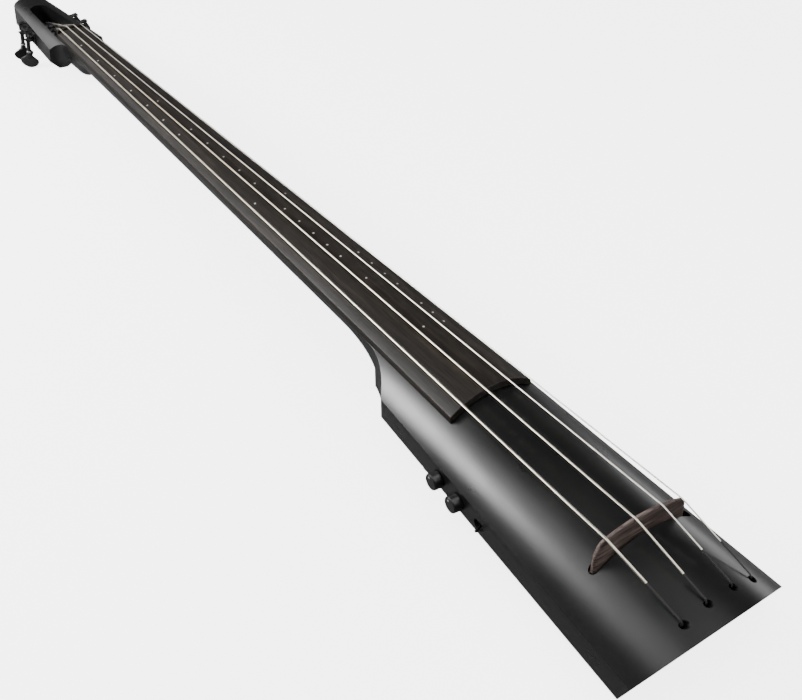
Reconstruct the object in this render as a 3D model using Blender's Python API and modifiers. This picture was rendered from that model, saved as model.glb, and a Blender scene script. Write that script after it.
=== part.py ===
"""Slim solid-body electric upright double bass, lying on its back.

Design frame: the middle of the nut, at the height of the strings, is (0, 0, 0).
+Y runs to the head, +Z towards the player's side of the strings, -X is the side of
the low E string and of the controls. Everything hangs from one empty, which moves
that frame so that the finished origin lies under the middle of the instrument, on
the surface it lies on. All lengths are in metres.
"""
import math

import bmesh
import bpy
from mathutils import Matrix, Vector

# ---- driving dimensions -------------------------------------------------------
GAP = 0.0003                      # clearance between touching pieces
SCALE_LENGTH = 1.060              # nut to bridge

FRAME_SHIFT = Vector((0.0, 0.48316, 0.07464))   # design frame to finished frame
LYING_TILT = -0.01505             # radians: the tail and the tuner buttons lie level

# strings, from the low E to the high G
STRING_NAMES = ("e", "a", "d", "g")
STRING_RADIUS = (0.00105, 0.00088, 0.00070, 0.00058)
NUT_SPREAD = 0.0145               # half the distance between the outer strings
NUT_STRING_ARC = 0.0726
BRIDGE_STRING_X = (-0.0385, -0.0115, 0.0135, 0.0355)
BRIDGE_STRING_Z = (-0.0050, -0.0015, -0.0023, -0.0096)
HOLE_X = (-0.0338, -0.0123, 0.0123, 0.0330)
HOLE_Y = -1.1315
HOLE_RADIUS = 0.0022
HOLE_MOUTH_RADIUS = 0.0036        # countersink, at the surface of the top
HOLE_MOUTH_DEPTH = 0.0022
BALL_HOLE_RADIUS = 0.0060         # counterbore in the back, for the ball end
BALL_HOLE_DEPTH = 0.0145
FERRULE_RADIUS = 0.0057
FERRULE_SINK = 0.0035             # how far the ferrule's face lies inside the back

# fingerboard
BOARD_END = 0.839                 # end of the board, as a share of the string length
BOARD_HALF_NUT = 0.0200
BOARD_HALF_END = 0.0414
BOARD_DROP_NUT = 0.0017           # crown of the board below the strings
BOARD_DROP_SLOPE = 0.0043
BOARD_ARC_NUT = 0.0476            # radius of the playing surface
BOARD_ARC_SLOPE = 0.0267
BOARD_THICK = 0.0068
BOARD_POINTS = 11                 # across the crowned board, and the neck under it

# nut and bridge
NUT_LENGTH = 0.0046
NUT_SEAT = -0.0130                # floor of the nut's seat in the neck
BRIDGE_LEFT = -0.0478
BRIDGE_RIGHT = 0.0402
BRIDGE_CREST = (-0.0080, -0.0014)  # x and z of the top of the arch
BRIDGE_ARC = 0.112
BRIDGE_FOOT = -0.0345
BRIDGE_FOOT_HALF = 0.0024         # half thickness at the foot and at the top
BRIDGE_TOP_HALF = 0.0015
POCKET_HALF = (0.0492, 0.0040)    # half length and half width
POCKET_FLOOR = -0.0400
PIEZO_HALF = (0.0300, 0.0010)
PIEZO_HIGH = 0.0028
HEIGHT_SCREW_X = 0.0330

# body
SHOULDER_Y = -0.8197
TAIL_Y = -1.1308
SHOULDER_HALF = 0.0592
TAIL_HALF = 0.0736
CREASE_SHOULDER = -0.0432         # height of the edge between top and side
CREASE_TAIL = -0.0664
BACK_SHOULDER = -0.0666
BACK_SLOPE = 0.0829
CROWN_BOARD = -0.0133             # height of the crown of the top under the board
CROWN_TAIL = -0.0189
TAIL_RAKE = math.radians(23.1)    # the tail is cut off on a slope, longest at the top
BODY_POINTS = 17                  # across the arched top
BACK_ROUND = 0.004                # bevel between side and back
JOINT_Y = -0.7781                 # neck heel meets the body here
HEEL_HALF = 0.0385
COVE_Y = -0.7630                  # where the coves between neck and shoulders begin
COVE_RADIUS = 0.078
CAVITY = ((-0.0550, -1.0050), (0.0300, -0.8850))   # control cavity, seen from the back
CAVITY_ROOF = -0.0450
COVER_THICK = 0.0020
COVER_LEDGE = 0.0060
STAND_HALF = 0.0250               # steel plate for a stand, let into the back
STAND_Y = (-0.868, -0.836)
STAND_THICK = 0.0030

# neck and head
NECK_DEPTH_NUT = 0.0170
NECK_DEPTH_HEEL = 0.0188
BACK_POINTS = 9                   # round the back of the neck
NECK_EDGE = 0.0020                # straight side between the board and the round back
HEEL_LENGTH = 0.066
HEEL_DEPTH = 0.0220               # added to the depth at the joint
VOLUTE_Y = -0.038
VOLUTE_LENGTH = 0.021
VOLUTE_DEPTH = 0.0205
TRUSS_RADIUS = 0.0026
TRUSS_Y = (-0.760, -0.025)
TRUSS_Z = -0.0168
TRUSS_FLOOR = -0.0200
HEAD_SHOULDER_Y = -0.0064
HEAD_HALF_NEAR = 0.0350
HEAD_HALF_FAR = 0.0248
HEAD_FAR_Y = 0.161
HEAD_END = 0.0240                 # length of the round end
HEAD_FILLET = 0.030               # length of the hollow between neck and shoulder
HEAD_EDGE_NEAR = -0.0200
HEAD_EDGE_SLOPE = -0.033
HEAD_SIDE = 0.0180                # height of the side walls
HEAD_BELLY = 0.0285               # from the top edge to the rounded back of the head
HEAD_ARC = 0.070
WALL_LEAN = math.radians(7.0)     # the head's side walls splay outwards, going down
PEGBOX_HALF_NEAR = 0.0195
PEGBOX_HALF_FAR = 0.0125
PEGBOX_NEAR_Y = 0.0065
PEGBOX_FAR_Y = 0.140
PEGBOX_FLOOR = -0.0412

# tuning machines
TUNER_SIDE = {"e": -1, "a": -1, "d": 1, "g": 1}
POST_Y = {"e": 0.0675, "a": 0.0975, "d": 0.0825, "g": 0.0535}
POST_RADIUS = 0.0045
POST_Z = -0.0325                  # at the middle of the pegbox
WHEEL_TEETH = 14
WORM_PITCH = 0.0026
WHEEL_PITCH_RADIUS = WHEEL_TEETH * WORM_PITCH / (2 * math.pi)
WORM_PITCH_RADIUS = 0.0029
ADDENDUM = 0.00070
DEDENDUM = 0.00100
WHEEL_FACE = 0.0030
WHEEL_BORE = 0.0030
WHEEL_MID = 0.0057                # mid plane of the wheel, out from the cheek
WORM_SHAFT_RADIUS = WORM_PITCH_RADIUS - DEDENDUM
WORM_TURNS = 3.0
JOURNAL_RADIUS = WORM_SHAFT_RADIUS - 0.0004
RUNNING_FIT = 0.00012             # nominal, between many-sided bores and shafts
WORM_AXIS = WHEEL_PITCH_RADIUS + WORM_PITCH_RADIUS
PLATE_THICK = 0.0016
PLATE_LOW = (0.0, -0.0076, -0.0082)
PLATE_HIGH = (PLATE_THICK, WORM_AXIS + 0.0046, 0.0060)
WORM_HALF = WORM_PITCH * WORM_TURNS / 2 + 0.0012
LUG_THICK = 0.0022
LUG_HALF = 0.0040
WORM_END = -0.0380                # lower end of the worm's shaft, inside its button
COLLAR_TOP = -0.0215
BUTTON_TOP = -0.0245
BUTTON_END = -0.0450
BUTTON_HALF = 0.0132
BUTTON_STEM = 0.0034
BUTTON_TURN = {"e": math.radians(48), "a": math.radians(88),
               "d": math.radians(-20), "g": math.radians(35)}

# controls on the E string side
KNOB_Y = {"volume": -0.904, "tone": -0.931}
KNOB_RADIUS = 0.0073
KNOB_TOP = 0.0085                 # knob face, out from the side wall
SWITCH_Y = -0.9585
SWITCH_PIVOT = 0.0050             # depth of the lever's pivot under the side wall
SWITCH_LEAN = math.radians(20.0)
JACK_Y = -0.945

LACQUER = ((0.022, 0.022, 0.024), 0.38, 0.0)
EBONY = ((0.085, 0.065, 0.055), 0.50, 0.0)
STEEL = ((0.70, 0.68, 0.63), 0.28, 1.0)
BLACK_METAL = ((0.03, 0.03, 0.032), 0.35, 0.8)
BRASS = ((0.72, 0.55, 0.28), 0.30, 1.0)
BLACK_PLASTIC = ((0.018, 0.018, 0.018), 0.45, 0.0)
CIRCUIT = ((0.03, 0.16, 0.07), 0.50, 0.0)


# ---- scene and small helpers ---------------------------------------------------
for old in list(bpy.data.objects):
    bpy.data.objects.remove(old, do_unlink=True)


def new_collection(name):
    collection = bpy.data.collections.new(name)
    bpy.context.scene.collection.children.link(collection)
    return collection


parts = new_collection("double_bass")
cutters = new_collection("cutters")


def empty(name, location, rotation=None, parent=None):
    point = bpy.data.objects.new(name, None)
    point.location = location
    if rotation is not None:
        point.rotation_euler = rotation
    point.parent = parent
    parts.objects.link(point)
    return point


root = empty("double_bass_frame", FRAME_SHIFT, (LYING_TILT, 0.0, 0.0))


def material(name, look):
    colour, roughness, metallic = look
    made = bpy.data.materials.new(name)
    made.use_nodes = True
    shader = made.node_tree.nodes["Principled BSDF"]
    shader.inputs["Base Color"].default_value = (*colour, 1.0)
    shader.inputs["Roughness"].default_value = roughness
    shader.inputs["Metallic"].default_value = metallic
    made.diffuse_color = (*colour, 1.0)
    return made


def add_part(name, mesh, look, parent=root, smooth=30):
    """Link a mesh as a named piece of the instrument."""
    piece = bpy.data.objects.new(name, mesh)
    mesh.materials.clear()
    mesh.materials.append(material(name, look))
    mesh.shade_smooth()
    mesh.set_sharp_from_angle(angle=math.radians(smooth))
    piece.parent = parent
    parts.objects.link(piece)
    return piece


def add_cutter(name, mesh, parent=root):
    tool = bpy.data.objects.new(name, mesh)
    tool.hide_render = True
    tool.display_type = "WIRE"
    tool.parent = parent
    cutters.objects.link(tool)
    return tool


def cut(piece, tool, operation="DIFFERENCE"):
    boolean = piece.modifiers.new(tool.name, "BOOLEAN")
    boolean.operation = operation
    boolean.object = tool
    boolean.solver = "EXACT"


def to_mesh(bm, name):
    bmesh.ops.recalc_face_normals(bm, faces=bm.faces)
    mesh = bpy.data.meshes.new(name)
    bm.to_mesh(mesh)
    bm.free()
    return mesh


def loft(name, rings):
    """A closed skin over rings that have the same number of points, capped at both ends."""
    bm = bmesh.new()
    rows = [[bm.verts.new(point) for point in ring] for ring in rings]
    count = len(rows[0])
    for row, following in zip(rows, rows[1:]):
        for i in range(count):
            j = (i + 1) % count
            bm.faces.new((row[i], row[j], following[j], following[i]))
    bm.faces.new(rows[0])
    bm.faces.new(rows[-1])
    return to_mesh(bm, name)


def round_rings(profile, sides):
    """Circles about the Z axis, one for each (radius, height) of a profile."""
    turns = [2 * math.pi * i / sides for i in range(sides)]
    return [[Vector((radius * math.cos(turn), radius * math.sin(turn), height)) for turn in turns]
            for radius, height in profile]


def box(name, low, high):
    bm = bmesh.new()
    bmesh.ops.create_cube(bm, size=1.0)
    low, high = Vector(low), Vector(high)
    size = high - low
    bmesh.ops.scale(bm, vec=size, verts=bm.verts)
    bmesh.ops.translate(bm, vec=(low + high) / 2, verts=bm.verts)
    return to_mesh(bm, name)


AXIS_TURN = {
    "x": Matrix.Rotation(math.radians(90), 4, "Y"),
    "y": Matrix.Rotation(math.radians(-90), 4, "X"),
    "z": Matrix.Identity(4),
}


def rod(name, radius, start, end, axis="x", centre=(0.0, 0.0), sides=20, radius_end=None):
    """A round bar or cone along one axis, from start to end."""
    bm = bmesh.new()
    bmesh.ops.create_cone(bm, cap_ends=True, segments=sides, radius1=radius,
                          radius2=radius if radius_end is None else radius_end, depth=end - start)
    bmesh.ops.transform(bm, matrix=AXIS_TURN[axis], verts=bm.verts)
    middle = (start + end) / 2
    first, second = centre
    place = {"x": (middle, first, second), "y": (first, middle, second), "z": (first, second, middle)}
    bmesh.ops.translate(bm, vec=place[axis], verts=bm.verts)
    return to_mesh(bm, name)


def turned(name, profile, look, parent, axis="z", sides=24):
    """A piece turned about an axis of its parent: (radius, height) pairs, from the top down."""
    mesh = bpy.data.meshes.new(name)
    mesh.from_pydata([(radius, 0.0, height) for radius, height in profile],
                     [(i, i + 1) for i in range(len(profile) - 1)], [])
    piece = add_part(name, mesh, look, parent)
    screw = piece.modifiers.new("Turn", "SCREW")
    screw.steps = sides
    screw.render_steps = sides
    screw.use_merge_vertices = True
    screw.merge_threshold = 0.00001
    turn = {"x": (0.0, math.radians(90), 0.0), "-x": (0.0, math.radians(-90), 0.0),
            "y": (math.radians(-90), 0.0, 0.0), "-z": (math.radians(180), 0.0, 0.0),
            "z": (0.0, 0.0, 0.0)}
    piece.rotation_euler = turn[axis]
    return piece


def tube_mesh(name, points, radius):
    """A round wire through the points, as a mesh with welded caps."""
    curve = bpy.data.curves.new(name, "CURVE")
    curve.dimensions = "3D"
    curve.bevel_depth = radius
    curve.bevel_resolution = 1
    curve.use_fill_caps = True
    spline = curve.splines.new("POLY")
    spline.points.add(len(points) - 1)
    for point, place in zip(spline.points, points):
        point.co = (*place, 1.0)
    guide = bpy.data.objects.new(name + "_curve", curve)
    bpy.context.scene.collection.objects.link(guide)
    evaluated = guide.evaluated_get(bpy.context.evaluated_depsgraph_get())
    mesh = bpy.data.meshes.new_from_object(evaluated)
    bpy.data.objects.remove(guide, do_unlink=True)
    bm = bmesh.new()
    bm.from_mesh(mesh)
    bmesh.ops.remove_doubles(bm, verts=bm.verts, dist=0.00001)
    bpy.data.meshes.remove(mesh)
    return to_mesh(bm, name)


def between(start, end, share):
    return start + (end - start) * share


def steps(start, end, count):
    return [between(start, end, i / (count - 1)) for i in range(count)]


def sagitta(x, radius):
    """How far an arc of this radius falls away from its crown at x."""
    return radius - math.sqrt(radius * radius - x * x)


def arc_row(half, radius, crown, y, count):
    """Points over a crowned surface, from -half to +half."""
    return [Vector((x, y, crown - sagitta(x, radius))) for x in steps(-half, half, count)]


def smooth_step(share):
    share = min(1.0, max(0.0, share))
    return share * share * (3 - 2 * share)


# ---- fingerboard ----------------------------------------------------------------
def board_half(y):
    share = min(1.0, max(0.0, -y / SCALE_LENGTH / BOARD_END))
    return between(BOARD_HALF_NUT, BOARD_HALF_END, share)


def board_arc(y):
    return BOARD_ARC_NUT + BOARD_ARC_SLOPE * max(0.0, -y / SCALE_LENGTH)


def board_crown(y):
    return -(BOARD_DROP_NUT + BOARD_DROP_SLOPE * max(0.0, -y / SCALE_LENGTH))


def build_fingerboard():
    """A long tapering board, crowned on top and hollowed underneath to match the neck."""
    rings = []
    for y in steps(-GAP, -BOARD_END * SCALE_LENGTH, 7):
        half, radius, crown = board_half(y), board_arc(y), board_crown(y)
        top = arc_row(half, radius, crown, y, BOARD_POINTS)
        under = arc_row(half, radius, crown - BOARD_THICK, y, BOARD_POINTS)
        rings.append(top + under[::-1])
    return add_part("fingerboard", loft("fingerboard", rings), EBONY)


# ---- body -----------------------------------------------------------------------
def along_body(y):
    return (y - SHOULDER_Y) / (TAIL_Y - SHOULDER_Y)


def body_half(y):
    return between(SHOULDER_HALF, TAIL_HALF, along_body(y))


def body_crease(y):
    return between(CREASE_SHOULDER, CREASE_TAIL, along_body(y))


def body_back(y):
    return BACK_SHOULDER + BACK_SLOPE * (y - SHOULDER_Y)


def body_crown(y):
    board_end = -BOARD_END * SCALE_LENGTH
    share = max(0.0, (y - board_end) / (TAIL_Y - board_end))
    return between(CROWN_BOARD, CROWN_TAIL, share)


def body_arc(y):
    half = body_half(y)
    rise = body_crown(y) - body_crease(y)
    return (half * half + rise * rise) / (2 * rise)


def body_top(x, y):
    return body_crown(y) - sagitta(x, body_arc(y))


def body_ring(y):
    half, crease, back = body_half(y), body_crease(y), body_back(y)
    ring = arc_row(half, body_arc(y), body_crown(y), y, BODY_POINTS)
    corner = [(half, back + BACK_ROUND), (half - BACK_ROUND * 0.3, back + BACK_ROUND * 0.3),
              (half - BACK_ROUND, back)]
    ring += [Vector((x, y, z)) for x, z in corner]
    ring += [Vector((-x, y, z)) for x, z in corner[::-1]]
    return ring


def stadium(name, half_length, half_width, low, high, centre=(0.0, 0.0), along="x"):
    """Cutter for a long pocket with half round ends, along x or y."""
    outline = []
    for side in (1, -1):
        for i in range(9):
            angle = math.radians(22.5 * i - 90)
            far = side * (half_length - half_width + half_width * math.cos(angle))
            outline.append((far, side * half_width * math.sin(angle)))
    if along == "y":
        outline = [(-v, u) for u, v in outline]
    x, y = centre
    rings = [[Vector((x + u, y + v, z)) for u, v in outline] for z in (low, high)]
    return loft(name, rings)


def tail_plane():
    """A point on the sloping tail cut, and its normal, out of the body."""
    normal = Vector((0.0, -math.cos(TAIL_RAKE), -math.sin(TAIL_RAKE)))
    return Vector((0.0, TAIL_Y, CREASE_TAIL)), normal


def hole_frame(index):
    """Frame of a string hole: origin in the top, +Z up and parallel to the raked tail."""
    x = HOLE_X[index]
    mouth = Matrix.Translation((x, HOLE_Y, body_top(x, HOLE_Y)))
    return mouth @ Matrix.Rotation(TAIL_RAKE, 4, "X")


def hole_length(index):
    """From the top to the back, along a string hole."""
    level = body_top(HOLE_X[index], HOLE_Y) - body_back(HOLE_Y)
    return level / (math.cos(TAIL_RAKE) + BACK_SLOPE * math.sin(TAIL_RAKE))


def cut_string_holes(body):
    """A countersunk bore through the body for each string, with a counterbore in the back."""
    rise = 0.006
    flare = (HOLE_MOUTH_RADIUS - HOLE_RADIUS) / HOLE_MOUTH_DEPTH
    for index, name in enumerate(STRING_NAMES):
        length = hole_length(index)
        step = BALL_HOLE_DEPTH - length
        profile = [(HOLE_MOUTH_RADIUS + flare * rise, rise), (HOLE_RADIUS, -HOLE_MOUTH_DEPTH),
                   (HOLE_RADIUS, step), (BALL_HOLE_RADIUS, step), (BALL_HOLE_RADIUS, -length - 0.02)]
        tool = add_cutter("hole_" + name, loft("hole_" + name, round_rings(profile, 16)))
        tool.matrix_local = hole_frame(index)
        cut(body, tool)


def build_body():
    """The solid body: arched top, straight sides, raked tail, coved shoulders."""
    beyond = -1.19
    places = (JOINT_Y - GAP, -0.800, SHOULDER_Y, -0.889, -0.960, -1.030, -1.090, TAIL_Y, beyond)
    rings = [body_ring(y) for y in places]
    mesh = loft("body", rings)
    bm = bmesh.new()
    bm.from_mesh(mesh)
    point, normal = tail_plane()
    cut_faces = bmesh.ops.bisect_plane(bm, geom=bm.verts[:] + bm.edges[:] + bm.faces[:],
                                       plane_co=point, plane_no=normal, clear_outer=True)
    rim = [item for item in cut_faces["geom_cut"] if isinstance(item, bmesh.types.BMEdge)]
    bmesh.ops.edgeloop_fill(bm, edges=rim)
    body = add_part("body", to_mesh(bm, "body"), LACQUER)

    for side, word in ((-1, "left"), (1, "right")):
        scoop = rod("cove_" + word, COVE_RADIUS, -0.12, 0.02, "z",
                    (side * (HEEL_HALF + COVE_RADIUS), COVE_Y), 72)
        cut(body, add_cutter("cove_" + word, scoop))

    pocket = stadium("bridge_pocket", *POCKET_HALF, POCKET_FLOOR, 0.01, (0.0, -SCALE_LENGTH))
    cut(body, add_cutter("bridge_pocket", pocket))
    cut_string_holes(body)

    (x0, y0), (x1, y1) = CAVITY
    cut(body, add_cutter("cavity", box("cavity", (x0, y0, -0.12), (x1, y1, CAVITY_ROOF))))
    ledge = box("cover_recess", (x0 - COVER_LEDGE, y0 - COVER_LEDGE, -0.03),
                (x1 + COVER_LEDGE, y1 + COVER_LEDGE, COVER_THICK + GAP))
    recess = add_cutter("cover_recess", ledge)
    lay_on_back(recess)
    cut(body, recess)
    return body


def lay_on_back(piece):
    """Tilt a piece that was modelled on a level back so that it follows the sloping back."""
    slope = Matrix(((1.0, 0.0, 0.0, 0.0), (0.0, 1.0, 0.0, 0.0),
                    (0.0, BACK_SLOPE, 1.0, BACK_SHOULDER - BACK_SLOPE * SHOULDER_Y),
                    (0.0, 0.0, 0.0, 1.0)))
    piece.data.transform(slope)


def build_cavity_cover():
    (x0, y0), (x1, y1) = CAVITY
    margin = COVER_LEDGE - GAP
    mesh = box("cavity_cover", (x0 - margin, y0 - margin, 0.0),
               (x1 + margin, y1 + margin, COVER_THICK))
    cover = add_part("cavity_cover", mesh, BLACK_PLASTIC)
    lay_on_back(cover)
    return cover


# ---- neck and head ----------------------------------------------------------------
def heel_share(y):
    """0 where the heel begins to grow out of the neck, 1 at the joint."""
    return min(1.0, max(0.0, (JOINT_Y + HEEL_LENGTH - y) / HEEL_LENGTH))


def neck_depth(y):
    depth = between(NECK_DEPTH_NUT, NECK_DEPTH_HEEL, min(1.0, max(0.0, y / JOINT_Y)))
    volute = math.exp(-((y - VOLUTE_Y) / VOLUTE_LENGTH) ** 2)
    return depth + HEEL_DEPTH * heel_share(y) ** 2.6 + VOLUTE_DEPTH * volute


def neck_half(y):
    """Half the width: the board's, then the cove that runs on into the shoulder."""
    if y > COVE_Y:
        return board_half(y) - GAP
    return HEEL_HALF - GAP + sagitta(COVE_Y - y, COVE_RADIUS)


def neck_ring(y):
    """Crowned top under the board, straight side, rounded back that grows square at the heel."""
    half = neck_half(y)
    crown = board_crown(y) - BOARD_THICK - GAP
    top = arc_row(half, board_arc(y), crown, y, BOARD_POINTS)
    edge = top[-1].z - NECK_EDGE
    square = 2 / (2.0 + 2.2 * heel_share(y) ** 3)
    depth = neck_depth(y)
    under = []
    for i in range(1, BACK_POINTS + 1):
        angle = math.pi * i / (BACK_POINTS + 1)
        across, down = math.cos(angle), math.sin(angle)
        across = math.copysign(abs(across) ** square, across)
        under.append(Vector((half * across, y, edge - depth * down ** square)))
    return top + under


def head_half(y):
    return between(HEAD_HALF_NEAR, HEAD_HALF_FAR, (y - 0.015) / (HEAD_FAR_Y - 0.015))


def head_edge(y):
    return HEAD_EDGE_NEAR + HEAD_EDGE_SLOPE * y


def head_outline():
    """Plan of the head, from the right: hollow fillets out of the neck, then a round end."""
    neck_side = board_half(0.0) - GAP
    start = HEAD_SHOULDER_Y - HEAD_FILLET
    right = []
    for i in range(7):
        angle = math.radians(15 * i)
        right.append((neck_side + 0.013 * (1 - math.cos(angle)),
                      start + (HEAD_FILLET - 0.001) * math.sin(angle)))
    right.append((head_half(HEAD_SHOULDER_Y), HEAD_SHOULDER_Y))
    for y in steps(HEAD_SHOULDER_Y + 0.03, HEAD_FAR_Y, 4):
        right.append((head_half(y), y))
    for i in range(1, 9):
        angle = math.radians(11.25 * i)
        right.append((HEAD_HALF_FAR * math.cos(angle), HEAD_FAR_Y + HEAD_END * math.sin(angle)))
    return right + [(-x, y) for x, y in right[-2::-1]]


def head_ring(outline, drop, inset):
    """The outline at a depth under the top edge: splayed walls, then drawn in under the belly."""
    ring = []
    for x, y in outline:
        shallow = smooth_step((y - HEAD_SHOULDER_Y + HEAD_FILLET) / HEAD_FILLET)
        depth = drop if drop < 0 else drop * (0.45 + 0.55 * shallow)
        spread = 1.0 + min(drop, HEAD_SIDE) * math.tan(WALL_LEAN) / HEAD_HALF_NEAR - inset
        along = y - 0.08 * inset * smooth_step(y / HEAD_FAR_Y)
        ring.append(Vector((x * spread, along, head_edge(y) - depth)))
    return ring


def build_head_block():
    """The head's block: side walls splay going down, and the top is crowned by a Boolean cut."""
    outline = head_outline()
    levels = ((-0.012, 0.0), (HEAD_SIDE, 0.0), (HEAD_SIDE + 0.0035, 0.10), (HEAD_BELLY, 0.28))
    return loft("head_block", [head_ring(outline, drop, inset) for drop, inset in levels])


def head_crown_tool():
    """Everything above the crowned top of the head."""
    rings = []
    for y in (HEAD_SHOULDER_Y - 0.06, 0.24):
        crown = head_edge(y) + sagitta(HEAD_HALF_NEAR, HEAD_ARC)
        surface = arc_row(0.055, HEAD_ARC, crown, y, 21)
        rings.append(surface + [Vector((0.055, y, 0.06)), Vector((-0.055, y, 0.06))])
    return loft("head_crown", rings)


def pegbox_tool():
    """The string slot: tapering plan with a round far end, open at the top and at the nut."""
    centre = PEGBOX_FAR_Y - PEGBOX_HALF_FAR
    plan = [(PEGBOX_HALF_NEAR, PEGBOX_NEAR_Y)]
    for i in range(9):
        angle = math.pi * i / 8
        plan.append((PEGBOX_HALF_FAR * math.cos(angle), centre + PEGBOX_HALF_FAR * math.sin(angle)))
    plan.append((-PEGBOX_HALF_NEAR, PEGBOX_NEAR_Y))
    rings = [[Vector((x, y, z)) for x, y in plan] for z in (PEGBOX_FLOOR, 0.03)]
    return loft("pegbox", rings)


def build_neck():
    """Neck and head in one piece, with heel, volute, pegbox and a channel for the truss rod."""
    places = [JOINT_Y + HEEL_LENGTH * share for share in (0.0, 0.08, 0.18, 0.30, 0.45, 0.65, 1.0)]
    places += [-0.55, -0.30, -0.13, -0.100, -0.080, -0.066, -0.054, -0.042, -0.030, -0.018,
               -0.004, PEGBOX_NEAR_Y]
    neck = add_part("neck", loft("neck", [neck_ring(y) for y in places]), LACQUER)
    head = add_cutter("head_block", build_head_block())
    cut(head, add_cutter("head_crown", head_crown_tool()))
    cut(neck, head, "UNION")
    cut(neck, add_cutter("pegbox", pegbox_tool()))
    seat = box("nut_seat", (-0.030, -0.0001, NUT_SEAT), (0.030, PEGBOX_NEAR_Y + 0.001, 0.03))
    cut(neck, add_cutter("nut_seat", seat))
    cut(neck, add_cutter("board_room", board_room()))
    low, high = TRUSS_Y
    channel = box("truss_channel", (-TRUSS_RADIUS - 0.0006, low - 0.005, TRUSS_FLOOR),
                  (TRUSS_RADIUS + 0.0006, high + 0.005, 0.02))
    cut(neck, add_cutter("truss_channel", channel))
    return neck


def board_room():
    """Clears the head's shoulders away from the fingerboard."""
    rings = []
    for y in (-0.0001, -0.060):
        half, crown = board_half(y) + GAP, board_crown(y) - BOARD_THICK - GAP
        floor = arc_row(half, board_arc(y), crown, y, BOARD_POINTS)
        rings.append(floor + [Vector((half, y, 0.03)), Vector((-half, y, 0.03))])
    return loft("board_room", rings)


def build_truss_rod():
    return add_part("truss_rod", rod("truss_rod", TRUSS_RADIUS, *TRUSS_Y, "y", (0.0, TRUSS_Z), 12), STEEL)


# ---- strings, nut and bridge --------------------------------------------------------
def nut_point(index):
    x = between(-NUT_SPREAD, NUT_SPREAD, index / 3)
    return Vector((x, 0.0022, -sagitta(x, NUT_STRING_ARC)))


def bridge_point(index):
    return Vector((BRIDGE_STRING_X[index], -SCALE_LENGTH, BRIDGE_STRING_Z[index]))


def build_nut():
    """A crowned bar across the end of the board, with a groove for each string."""
    rings = []
    half, floor = BOARD_HALF_NUT - 0.0004, NUT_SEAT + GAP
    for y in (GAP, NUT_LENGTH):
        top = arc_row(half, NUT_STRING_ARC, 0.0002, y, BOARD_POINTS)
        rings.append(top + [Vector((half, y, floor)), Vector((-half, y, floor))])
    nut = add_part("nut", loft("nut", rings), EBONY)
    for index, name in enumerate(STRING_NAMES):
        point = nut_point(index)
        radius = STRING_RADIUS[index] + GAP
        groove = box("nut_groove_" + name, (point.x - radius, -0.002, point.z - radius),
                     (point.x + radius, 0.012, 0.01))
        cut(nut, add_cutter("nut_groove_" + name, groove))
    return nut


def bridge_top(x):
    """Height of the bridge's arch, rounded off at both ends."""
    middle, crest = BRIDGE_CREST
    left = max(0.0, (BRIDGE_LEFT + 0.0080 - x) / 0.0080)
    right = max(0.0, (x - BRIDGE_RIGHT + 0.0050) / 0.0050)
    fall = 0.0150 * (1 - math.sqrt(1 - left * left)) + 0.0080 * (1 - math.sqrt(1 - right * right))
    return crest - sagitta(x - middle, BRIDGE_ARC) - fall


def bridge_ring(x):
    """Section of the bridge: a bar that thins towards its rounded top, and at its ends."""
    near_end = min(x - BRIDGE_LEFT, BRIDGE_RIGHT - x)
    end = max(0.0, 1 - near_end / 0.0040)
    narrow = math.sqrt(1 - 0.72 * end * end)
    foot, head = BRIDGE_FOOT_HALF * narrow, BRIDGE_TOP_HALF * narrow
    top = bridge_top(x)
    section = ((-foot, BRIDGE_FOOT), (foot, BRIDGE_FOOT), (head, top - 0.0008), (head * 0.5, top),
               (-head * 0.5, top), (-head, top - 0.0008))
    return [Vector((x, y - SCALE_LENGTH, z)) for y, z in section]


def build_bridge():
    """A low arched bar, grooved for the strings, with a slot under it for the pickup."""
    places = [BRIDGE_LEFT + step for step in (0.0, 0.0005, 0.0014, 0.0028, 0.0048, 0.0080)]
    places += steps(BRIDGE_LEFT + 0.0120, BRIDGE_RIGHT - 0.0050, 11)
    places += [BRIDGE_RIGHT - step for step in (0.0032, 0.0016, 0.0006, 0.0)]
    bridge = add_part("bridge", loft("bridge", [bridge_ring(x) for x in places]), EBONY)
    tail, head = -SCALE_LENGTH - 0.01, -SCALE_LENGTH + 0.01
    for index, name in enumerate(STRING_NAMES):
        point = bridge_point(index)
        radius = STRING_RADIUS[index] + GAP
        groove = rod("bridge_groove_" + name, radius, tail, head, "y", (point.x, point.z), 12)
        cut(bridge, add_cutter("bridge_groove_" + name, groove))
        above = box("bridge_mouth_" + name, (point.x - radius, tail, point.z),
                    (point.x + radius, head, 0.02))
        cut(bridge, add_cutter("bridge_mouth_" + name, above))
    half, thick = PIEZO_HALF
    slot = box("piezo_slot", (-half - GAP, -SCALE_LENGTH - thick - GAP, -0.05),
               (half + GAP, -SCALE_LENGTH + thick + GAP, BRIDGE_FOOT + PIEZO_HIGH + 2 * GAP))
    cut(bridge, add_cutter("piezo_slot", slot))
    return bridge


def build_pickup():
    """Piezo strip, let into the foot of the bridge."""
    half, thick = PIEZO_HALF
    mesh = box("piezo_pickup", (-half, -SCALE_LENGTH - thick, BRIDGE_FOOT + GAP),
               (half, -SCALE_LENGTH + thick, BRIDGE_FOOT + GAP + PIEZO_HIGH))
    return add_part("piezo_pickup", mesh, BRASS)


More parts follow.
